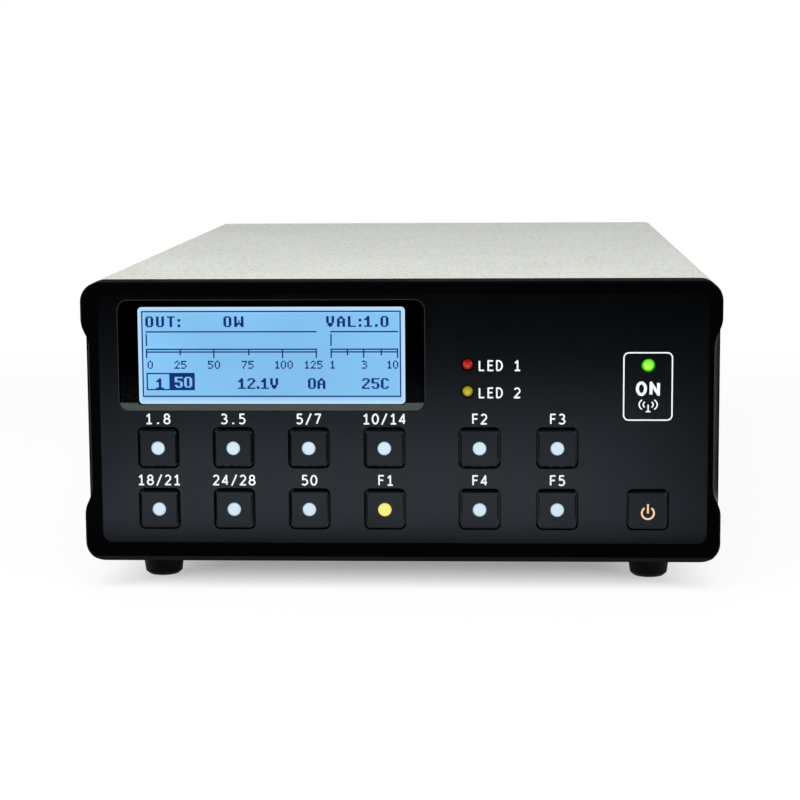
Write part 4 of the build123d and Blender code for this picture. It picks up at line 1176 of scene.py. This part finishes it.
@dataclass
class KeyPad(Assembly):
    """Thirteen keys with their light pipes, the one that is lit, and the mark on the power key."""

    keys: tuple[str, ...] = ("1_8", "3_5", "5_7", "10_14", "18_21", "24_28", "50", "auto", "info",
                             "bypass", "attenuator", "wireless", "power")
    lit_key: str = "auto"
    mark_radius: float = 1.52
    mark_line: float = 0.33
    mark_drop: float = 0.7      # key's middle to the ring's
    mark_gap: Point = (124.0, 416.0)        # the ring's ends, in degrees
    bar_ends: Point = (-0.1, 2.3)           # of the upright bar, from the ring's middle
    mark_halo: float = 0.2      # how much wider the deeper glow round the line is
    halo_height: float = 0.008
    mark_step: float = 0.006    # halo to mark
    gap_shadow: float = 0.16    # painted shadow round each opening, drawn as a black ring
    shadow_height: float = 0.01
    opening: float = 10.29
    opening_corner: float = 1.42
    cap: Finish = MouldedPlastic(
        "moulded_key_charcoal", "#08090b", 0.17, specular=0.42, grain_depth=0.0006, tint="#dcecff")
    shadow_ink: Finish = ScreenInk("painted_gap_shadow_ink", "#010101", 0.6, specular=0.05)
    halo: Finish = LitMark("amber_lit_halo", "#dc7f38", 0.5)
    mark: Finish = LitMark("amber_lit_mark", "#fff2d6", 0.5, deep="#ffdcae")
    pipe: Finish = LightPipe("frosted_light_pipe_rim_shade_", "#c8dbe9", 0.4)
    lit_pipe: Finish = LightPipe("lit_light_pipe_yellow", "#fffb88", 0.4, rim="#f2c43c", lit=True)

    def build(self) -> None:
        """Puts the lit on-off mark on the power key and rings each opening with a black band of
        painted shadow.
        """
        x, z = middle_of("key_power")
        z -= self.mark_drop
        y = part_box("key_power")[0][1] / MM - self.halo_height
        for name, line, finish in (("power_mark_halo", self.mark_line + self.mark_halo, self.halo),
                                   ("power_mark", self.mark_line, self.mark)):
            ring = ribbon(arc(x, z, self.mark_radius, self.mark_radius, *self.mark_gap, 36), line)
            bar = ribbon([(x, z + end) for end in self.bar_ends], line)
            print_flat(Piece(name, finish, "pipe_yellow", "power_button"), [ring, bar], y)
            y -= self.mark_step
        # Painted shadow: a black ring round each key opening, where the gap lies in shade.
        rings: list[Quad] = []
        size = self.opening + self.gap_shadow
        for key in self.keys:
            edge = rounded(*middle_of(f"key_{key}"), size, size,
                           self.opening_corner + self.gap_shadow / 2)
            rings += ribbon(edge, self.gap_shadow, closed=True)
        print_flat(Piece("opening_shadow_rings", self.shadow_ink, "moulding_black"), [rings],
                   FOIL - self.shadow_height)

    def finishes(self) -> Iterable[tuple[Finish, Sequence[str]]]:
        """Gives the caps and light pipes with their finishes."""
        for key in self.keys:
            yield self.cap, (f"key_{key}",)
            lens = f"lens_{key}"
            lit = key == self.lit_key
            pipe = self.lit_pipe if lit else replace(self.pipe, name=self.pipe.name + key)
            yield replace(pipe, centre=metres(middle_of(lens))), (lens,)


@dataclass
class IndicatorLamps(Assembly):
    """The three 3 mm lamps: red and yellow are out, green is lit."""

    # each lamp: rim colour, heart colour, lit; on the unlit lamps the paler heart is a painted
    # highlight and the darker rim painted shade
    shades: dict[str, tuple[str, str, bool]] = field(default_factory=lambda: {
        "fault_lamp": ("#780b08", "#c0211a", False),
        "overdrive_lamp": ("#857c12", "#bdb436", False),
        "on_air_lamp": ("#4fc41a", "#8fec3e", True)})

    def finishes(self) -> Iterable[tuple[Finish, Sequence[str]]]:
        """Gives each lamp with its tinted epoxy."""
        for lamp, (rim, heart_glow_and_highlight, lit) in self.shades.items():
            yield LampEpoxy("epoxy_" + lamp, rim, 0.12, heart_glow_and_highlight=heart_glow_and_highlight, centre=metres(middle_of(lamp)),
                            lit=lit), (lamp,)


ZINC = BareMetal("zinc_plated_steel", "#b9bcc0", 0.34, dull="#85888c")


@dataclass
class Case(Assembly):
    """The folded-steel cover and chassis, their screws and the rubber feet."""

    coat: Finish = PowderCoat("powder_coat_warm_grey", "#cfd2cb", 0.7, specular=0.12, dark="#8d9089",
                              light="#f2f4ee")
    rubber: Finish = MouldedPlastic("moulded_rubber_black", "#030304", 0.62, specular=0.1,
                                    grain_depth=0.01)

    def finishes(self) -> Iterable[tuple[Finish, Sequence[str]]]:
        """Gives sheet metal, screws and feet with their finishes."""
        return ((self.coat, ("top_cover", "base_chassis")),
                (ZINC, ("cover_screws", "foot_screws", "front_screws", "panel_screws")),
                (self.rubber, ("feet",)))


@dataclass(frozen=True)
class Thread:
    """A screw thread: its outer radius, its pitch and how far it runs, in millimetres."""

    radius: float
    pitch: float
    length: float
    root: float = 0.16          # share of the pitch by which the ridge's middle lies below the radius
    ridge: float = 0.38         # radius of the ridge, as a share of the pitch
    lead: float = 0.45          # clear end of the thread, as a share of the pitch

    def cut(self, piece: Piece, middles: Iterable[Point], end: float) -> None:
        """Lays the thread's ridge round each stud or barrel.

        Args:
            piece: what the ridges are called and wear.
            middles: X and Z of each axis in millimetres.
            end: Y of the free end.
        """
        paths = [helix(middle, end - self.length, end - self.lead * self.pitch,
                       self.radius - self.root * self.pitch, self.pitch) for middle in middles]
        wire(piece, paths, self.ridge * self.pitch)


@dataclass
class RearPanel(Assembly):
    """The rear panel with its fan, sockets, jacks and earth post."""

    coat: Finish = PowderCoat("powder_coat_black", "#17181a", 0.55, dark="#0e0f10", light="#2a2c2f")
    fan_plastic: Finish = MouldedPlastic("moulded_fan_black", "#101112", 0.4, grain_depth=0.003,
                                         rubbed_and_highlight="#26282a")
    guard: Finish = BareMetal("nickel_plated_guard", "#c9c8c2", 0.24, dull="#98968e")
    nickel: Finish = BareMetal("nickel_plated_brass", "#cfccc2", 0.22, dull="#9b978c")
    moulding: Finish = MouldedPlastic("moulded_socket_black", "#0e0e10", 0.36, grain_depth=0.003,
                                      rubbed_and_highlight="#2a2b2d")
    brass: Finish = BareMetal("bright_brass", "#c9a95c", 0.25, dull="#8e7338")
    zinc: Finish = replace(ZINC, name="zinc_plated_rear_screws")
    insulator: Finish = SinteredBody("white_ptfe", "#e4e3dc", 0.42, speck="#cfcdc4", speck_mm=1.2)
    coax_thread: Thread = Thread(7.94, 1.058, 14.4)         # 5/8 inch, 24 turns to the inch
    coax_recess: float = 5.0        # mouth to insulator
    coax_bore: float = 6.24
    contact_radius: float = 3.0
    sunk: float = 0.05              # insulator let into the barrel and the contact
    insulator_span: Point = (-0.2, 0.9)     # its back and front, from the recess's floor
    insulator_chamfer: Point = (0.7, 0.4)
    ground_thread: Thread = Thread(2.0, 0.7, 9.6)           # M4 stud
    jack_thread: Thread = Thread(3.0, 0.5, 1.7)             # M6 bush
    jack_spacing: float = 16.0
    cell_pitch: float = 12.5        # power socket
    cell_depth: float = 17.0
    cell_drop: float = 3.9          # middle of the socket to its blades
    blade_length: float = 13.7
    blade_size: Point = (6.2, 1.4)
    blade_taper: float = 0.9
    blade_seat: float = 0.05

    def build(self) -> None:
        """Cuts the threads, sets the insulators and slips the plated blades into the power socket."""
        for socket in ("input_socket", "antenna_socket"):
            middle, mouth = middle_of(socket), self.rear_of(socket)
            ridge = Piece(socket + "_thread", self.nickel, "socket_nickel")
            self.coax_thread.cut(ridge, [middle], mouth)
            self.add_insulator(socket + "_insulator", middle, mouth - self.coax_recess)
        self.ground_thread.cut(Piece("ground_post_thread", self.brass, "brass_plated"),
                               [middle_of("ground_post")], self.rear_of("ground_post"))
        x, z = middle_of("control_jacks")
        bushes = [(x + side * self.jack_spacing / 2, z) for side in (-1, 1)]
        self.jack_thread.cut(Piece("jack_threads", self.moulding, "socket_black"), bushes,
                             self.rear_of("control_jacks"))
        self.add_blades(middle_of("power_socket"), self.rear_of("power_socket"))

    def rear_of(self, node: str) -> float:
        """Gives the Y of a node's rear end, in millimetres."""
        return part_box(node)[1][1] / MM

    def add_insulator(self, name: str, middle: Point, floor: float) -> None:
        """Sets the ring of plastic between a socket's barrel and its contact.

        Args:
            name: the piece's name.
            middle: X and Z of the socket's axis in millimetres.
            floor: Y of the floor of its recess.
        """
        inner, outer = self.contact_radius - self.sunk, self.coax_bore + self.sunk
        back, front = (floor + end for end in self.insulator_span)
        across, along = self.insulator_chamfer
        profile = [(inner, back), (outer, back), (outer, front - along),
                   (self.coax_bore - across, front), (inner, front)]
        skin(Piece(name, self.insulator, "ceramic_white"), [turned(middle, profile)], closed=True)

    def add_blades(self, middle: Point, mouth: float) -> None:
        """Slips a plated blade with a tapered tip into each cell of the power socket.

        Args:
            middle: X and Z of the socket's middle in millimetres.
            mouth: Y of its open end.
        """
        root = mouth - self.cell_depth + self.blade_seat
        tip, half, rise = root + self.blade_length, self.blade_size[0] / 2, self.blade_size[1] / 2
        neck = tip - self.blade_taper
        edge = [(root, -rise), (neck, -rise), (tip, -rise / 2), (tip, rise / 2), (neck, rise),
                (root, rise)]
        z = middle[1] - self.cell_drop
        blades = [[[(middle[0] + side * self.cell_pitch / 2 + end * half, y, z + up) for y, up in edge]
                   for end in (-1, 1)] for side in (-1, 1)]
        skin(Piece("power_blades", self.brass, "brass_plated"), blades)

    def finishes(self) -> Iterable[tuple[Finish, Sequence[str]]]:
        """Gives the rear pieces with their finishes."""
        return ((self.coat, ("rear_panel",)), (self.fan_plastic, ("fan_frame", "fan_rotor")),
                (self.guard, ("fan_guard",)), (self.zinc, ("fan_screws",)),
                (self.nickel, ("input_socket", "antenna_socket")),
                (self.moulding, ("power_socket", "control_jacks")), (self.brass, ("ground_post",)))


@dataclass
class Internals(Assembly):
    """What the vents and the fan let one see inside."""

    aluminium: Finish = BareMetal("extruded_aluminium", "#c4c7ca", 0.42, lay=Lay.ALONG_Y,
                                  dull="#9c9fa3")
    board: Finish = SolderMask("green_solder_mask", "#0c4424", 0.38)
    zinc: Finish = replace(ZINC, name="zinc_plated_board_screws")
    switch: Finish = MouldedPlastic("moulded_switch_black", "#101112", 0.3, grain_depth=0.002)
    ceramic: Finish = SinteredBody("white_ceramic", "#dcdad2", 0.35, speck="#b8b5aa")
    ferrite: Finish = SinteredBody("sintered_ferrite", "#3a3b3e", 0.6, speck="#55575b")
    core: Finish = SinteredBody("red_painted_iron_powder", "#8f2019", 0.4, speck="#b0463a")
    copper: Finish = BareMetal("enamelled_copper_wire", "#b5652c", 0.22, dull="#8a4216")
    relay: Finish = MouldedPlastic("moulded_relay_orange", "#c8521a", 0.4, grain_depth=0.003)
    coil_radius: float = 7.5        # outside of a core
    coil_spacing: float = 17.0
    coil_count: int = 4             # on each side
    wire_radius: float = 0.45
    turn_count: int = 13
    turn_steps: int = 14            # runs in a turn of wire
    winding_start: float = 25.0     # where the winding begins round the core, in degrees
    winding_sweep: float = 310.0
    turn_squareness: float = 0.7    # power that squares a turn off; 1 leaves it round
    wire_sunk: float = 0.1          # wire let into the core's side
    wire_clear: float = 0.2         # and standing off above and below

    def build(self) -> None:
        """Winds each filter coil: turns of enamelled wire round the core, with a gap."""
        low, high = (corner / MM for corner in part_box("filter_coils"))
        rise = (high[2] - low[2]) / 2
        across, first = high[0] - self.coil_radius, low[1] + self.coil_radius
        paths = [self.winding(side * across, first + index * self.coil_spacing, low[2] + rise, rise)
                 for side in (-1, 1) for index in range(self.coil_count)]
        wire(Piece("coil_windings", self.copper, "coil_copper"), paths, self.wire_radius)

    def winding(self, x: float, y: float, z: float, rise: float) -> list[Spot]:
        """Gives the path of the wire round one core.

        Args:
            x: the core's middle across, in millimetres.
            y: its middle backwards.
            z: its middle up.
            rise: half its height.

        Returns:
            The points along the wire.
        """
        path: list[Spot] = []
        steps = self.turn_count * self.turn_steps
        for step in range(steps + 1):
            turn = math.tau * step / self.turn_steps
            along = math.radians(self.winding_start + self.winding_sweep * step / steps)
            out, up = (math.copysign(abs(part) ** self.turn_squareness, part)
                       for part in (math.cos(turn), math.sin(turn)))
            reach = self.coil_radius - rise + (rise - self.wire_sunk) * out
            path.append((x + reach * math.cos(along), y + reach * math.sin(along),
                         z + (rise + self.wire_clear) * up))
        return path

    def finishes(self) -> Iterable[tuple[Finish, Sequence[str]]]:
        """Gives the inner pieces with their finishes."""
        return ((self.aluminium, ("heatsink",)), (self.zinc, ("heatsink_screws", "amplifier_screws")),
                (self.board, ("amplifier_board", "control_board")), (self.switch, ("key_switches",)),
                (self.ceramic, ("power_transistors",)), (self.ferrite, ("output_transformer",)),
                (self.core, ("filter_coils",)), (self.relay, ("relays",)))


# ---------------------------------------------------------------------------- studio
@dataclass
class Studio:
    """Camera, pale floor, soft light, and dark boards that only reflections see."""

    camera_place: Spot = (27.5, -681.83, 123.52)
    yaw: float = -2.901         # turned to the left, in degrees
    pitch: float = 7.849        # tilted down
    roll: float = -0.387
    focal_length: float = 98.53
    floor_shade: str = "#f3f3f2"
    floor_under: float = 0.3    # share of plain white in the floor deep under the unit, shadow kept
    floor_near: float = 0.88    # and right round it
    shadow_depth: Point = (-34.0, 4.0)      # where that share grows, from under the unit outwards
    floor_melt: float = 300.0   # distance at which the floor has melted into the white room
    fill: float = 0.46          # light of the room on matt surfaces
    key_power: float = 5.6
    key_size: float = 0.7
    board_clear: Point = (-190.0, -224.0)   # the front board thins out between these, then
    board_dark: Point = (-290.0, -640.0)    # grows black again between these
    board_right: Point = (36.0, 116.0)      # and gets darker towards its sides
    board_left: Point = (-90.0, -112.0)
    board_side: float = 1.6     # half the width of every board, in metres, as for the rest here
    board_near: float = -0.15
    board_far: float = -2.2
    board_lift: float = 0.0006
    ceiling_height: float = 1.2
    ceiling_end: float = -0.2
    back_board: Point = (1.6, 0.7)          # how far behind the unit, and how high
    floor_reach: float = 6.0
    lamp_place: Spot = (-0.05, -0.5, 0.62)
    lamp_aim: Spot = (0.0, 0.0, 0.03)

    def build(self) -> None:
        """Sets up the whole studio."""
        self.add_camera()
        self.add_room()
        self.add_floor()
        self.add_lamp()
        self.add_boards()

    def add_camera(self) -> None:
        """Aims the camera."""
        yaw, pitch, roll = (math.radians(a) for a in (self.yaw, self.pitch, self.roll))
        ahead = Vector((math.sin(yaw) * math.cos(pitch), math.cos(yaw) * math.cos(pitch),
                        -math.sin(pitch)))
        level = Vector((math.cos(yaw), -math.sin(yaw), 0.0))
        upright = level.cross(ahead)
        right = level * math.cos(roll) + upright * math.sin(roll)
        above = -level * math.sin(roll) + upright * math.cos(roll)
        lens = bpy.data.cameras.new("camera")
        lens.lens = self.focal_length
        lens.sensor_width = 36.0
        lens.sensor_fit = "HORIZONTAL"
        lens.clip_start = 0.01
        camera = link("camera", lens)
        turn = Matrix((right, above, -ahead)).transposed().to_4x4()
        camera.matrix_world = Matrix.Translation(Vector(self.camera_place) * MM) @ turn
        bpy.context.scene.camera = camera

    def add_room(self) -> None:
        """Makes the room white to the eye, to gloss and to glass, and softer on matt surfaces."""
        world = bpy.data.worlds.new("room")
        tree = empty_tree(world)
        strength = spread(tree, self.seen(tree), 0.0, 1.0, self.fill, 1.0)
        air = add_node(tree, "ShaderNodeBackground", {"Color": WHITE, "Strength": strength})
        add_node(tree, "ShaderNodeOutputWorld", {"Surface": air.outputs[0]})
        bpy.context.scene.world = world

    def seen(self, tree: bpy.types.NodeTree) -> Any:
        """Gives 1 to rays from the camera and to those through gloss or glass, 0 to the others."""
        path = add_node(tree, "ShaderNodeLightPath")
        seen = path.outputs["Is Camera Ray"]
        for ray in ("Is Glossy Ray", "Is Transmission Ray"):
            seen = maths(tree, "MAXIMUM", seen, path.outputs[ray])
        return seen

    def stage_material(self, name: str,
                       surface: Callable[[bpy.types.NodeTree], Any]) -> bpy.types.Material:
        """Makes a material for a stage piece.

        Args:
            name: the material's name.
            surface: adds the nodes and gives the socket with the shader.

        Returns:
            The material.
        """
        material = bpy.data.materials.new(name)
        tree = empty_tree(material)
        add_node(tree, "ShaderNodeOutputMaterial", {"Surface": surface(tree)})
        return material

    def board(self, name: str, corners: Sequence[Spot],
              material: bpy.types.Material) -> bpy.types.Object:
        """Adds a flat stage piece.

        Args:
            name: its name.
            corners: its corners in metres.
            material: its material.

        Returns:
            The new piece.
        """
        mesh = bpy.data.meshes.new(name)
        mesh.from_pydata([Vector(c) for c in corners], [], [list(range(len(corners)))])
        mesh.materials.append(material)
        piece = link(name, mesh)
        return piece

    def add_floor(self) -> None:
        """Lays a pale matt floor that melts into the white room away from the unit."""
        end = self.floor_reach
        self.board("floor", [(-end, -end, 0), (end, -end, 0), (end, end, 0), (-end, end, 0)],
                   self.stage_material("pale_matt_floor", self.melting))

    def melting(self, tree: bpy.types.NodeTree) -> Any:
        """Gives the floor's shader: matt under the unit, plain white far away from it.

        Args:
            tree: the floor's tree.

        Returns:
            The socket with the shader.
        """
        spot = add_node(tree, "ShaderNodeTexCoord").outputs["Object"]
        over = vectors(tree, "SUBTRACT", vectors(tree, "ABSOLUTE", spot), (*CAD_BOX[1][:2], 0.0))
        axes = add_node(tree, "ShaderNodeSeparateXYZ", {0: over})
        out = maths(tree, "MAXIMUM", axes.outputs[0], axes.outputs[1])
        start, edge = (place * MM for place in self.shadow_depth)
        near = spread(tree, out, start, edge, self.floor_under, self.floor_near, "SMOOTHSTEP")
        far = spread(tree, out, edge, self.floor_melt * MM, 0.0, 1.0 - self.floor_near, "SMOOTHSTEP")
        share = maths(tree, "MULTIPLY", maths(tree, "ADD", near, far), self.seen(tree))
        matt = add_node(tree, "ShaderNodeBsdfDiffuse", {"Color": linear(self.floor_shade)})
        white = add_node(tree, "ShaderNodeEmission", {"Color": WHITE, "Strength": 1.0})
        return add_node(tree, "ShaderNodeMixShader",
                        {0: share, 1: matt.outputs[0], 2: white.outputs[0]}).outputs[0]

    def velvet(self, tree: bpy.types.NodeTree) -> Any:
        """Gives the shader of plain black velvet."""
        return add_node(tree, "ShaderNodeBsdfDiffuse", {"Color": BLACK}).outputs[0]

    def graded(self, tree: bpy.types.NodeTree) -> Any:
        """Gives the shader of velvet that thins out in a strip.

        Args:
            tree: the board's tree.

        Returns:
            The socket with the shader.
        """
        spot = add_node(tree, "ShaderNodeTexCoord").outputs["Object"]
        axes = add_node(tree, "ShaderNodeSeparateXYZ", {0: spot})
        share: Any = 0.0
        for axis, (start, end), first, last in (
                (1, self.board_clear, 1.0, 0.0), (1, self.board_dark, 0.0, 1.0),
                (0, self.board_right, 0.0, 0.8), (0, self.board_left, 0.0, 0.5)):
            grade = spread(tree, axes.outputs[axis], start * MM, end * MM, first, last, "SMOOTHSTEP")
            share = maths(tree, "MAXIMUM", grade, share)
        clear = add_node(tree, "ShaderNodeBsdfTransparent")
        return add_node(tree, "ShaderNodeMixShader",
                        {0: share, 1: clear.outputs[0], 2: self.velvet(tree)}).outputs[0]

    def add_boards(self) -> None:
        """Puts dark boards round the unit, seen only in reflections, as in a dimmed room.

        The front board lies on the floor; it is clear in one strip, whose pale floor the satin
        front mirrors as a soft band.
        """
        plain = self.stage_material("black_velvet_board", self.velvet)
        graded = self.stage_material("graded_velvet_board", self.graded)
        near, far, top = self.board_near, self.board_far, self.ceiling_height
        back, height = self.back_board
        for name, (y, z), (end, rise), material in (
                ("dark_board_low", (near, self.board_lift), (far, self.board_lift), graded),
                ("dark_board_front", (far, 0.0), (far, top), plain),
                ("dark_board_above", (far, top), (self.ceiling_end, top), plain),
                ("dark_board_behind", (back, 0.0), (back, height), plain)):
            side = self.board_side
            corners = [(-side, y, z), (side, y, z), (side, end, rise), (-side, end, rise)]
            piece = self.board(name, corners, material)
            piece.visible_camera = False
            piece.visible_diffuse = False
            piece.visible_transmission = False
            piece.visible_shadow = False

    def add_lamp(self) -> None:
        """Hangs one large soft lamp above the unit, a little to the front."""
        light = bpy.data.lights.new("soft_lamp", "AREA")
        light.shape = "SQUARE"
        light.size = self.key_size
        light.energy = self.key_power
        lamp = link("soft_lamp", light)
        lamp.location = self.lamp_place
        aim = Vector(self.lamp_aim) - lamp.location
        lamp.rotation_euler = aim.to_track_quat("-Z", "Y").to_euler()
        lamp.visible_glossy = False


def main() -> None:
    """Builds and dresses the sub-assemblies in order, then sets the studio."""
    logging.basicConfig(level=logging.INFO, format="%(name)s %(message)s")
    bpy.context.scene.view_settings.view_transform = "Standard"
    for assembly in (FrontPanel(), Display(), KeyPad(), IndicatorLamps(), Case(), RearPanel(),
                     Internals()):
        LOG.info("-- %s", type(assembly).__name__)
        assembly.build()
        assembly.dress()
    Studio().build()


if __name__ == "__main__":
    main()
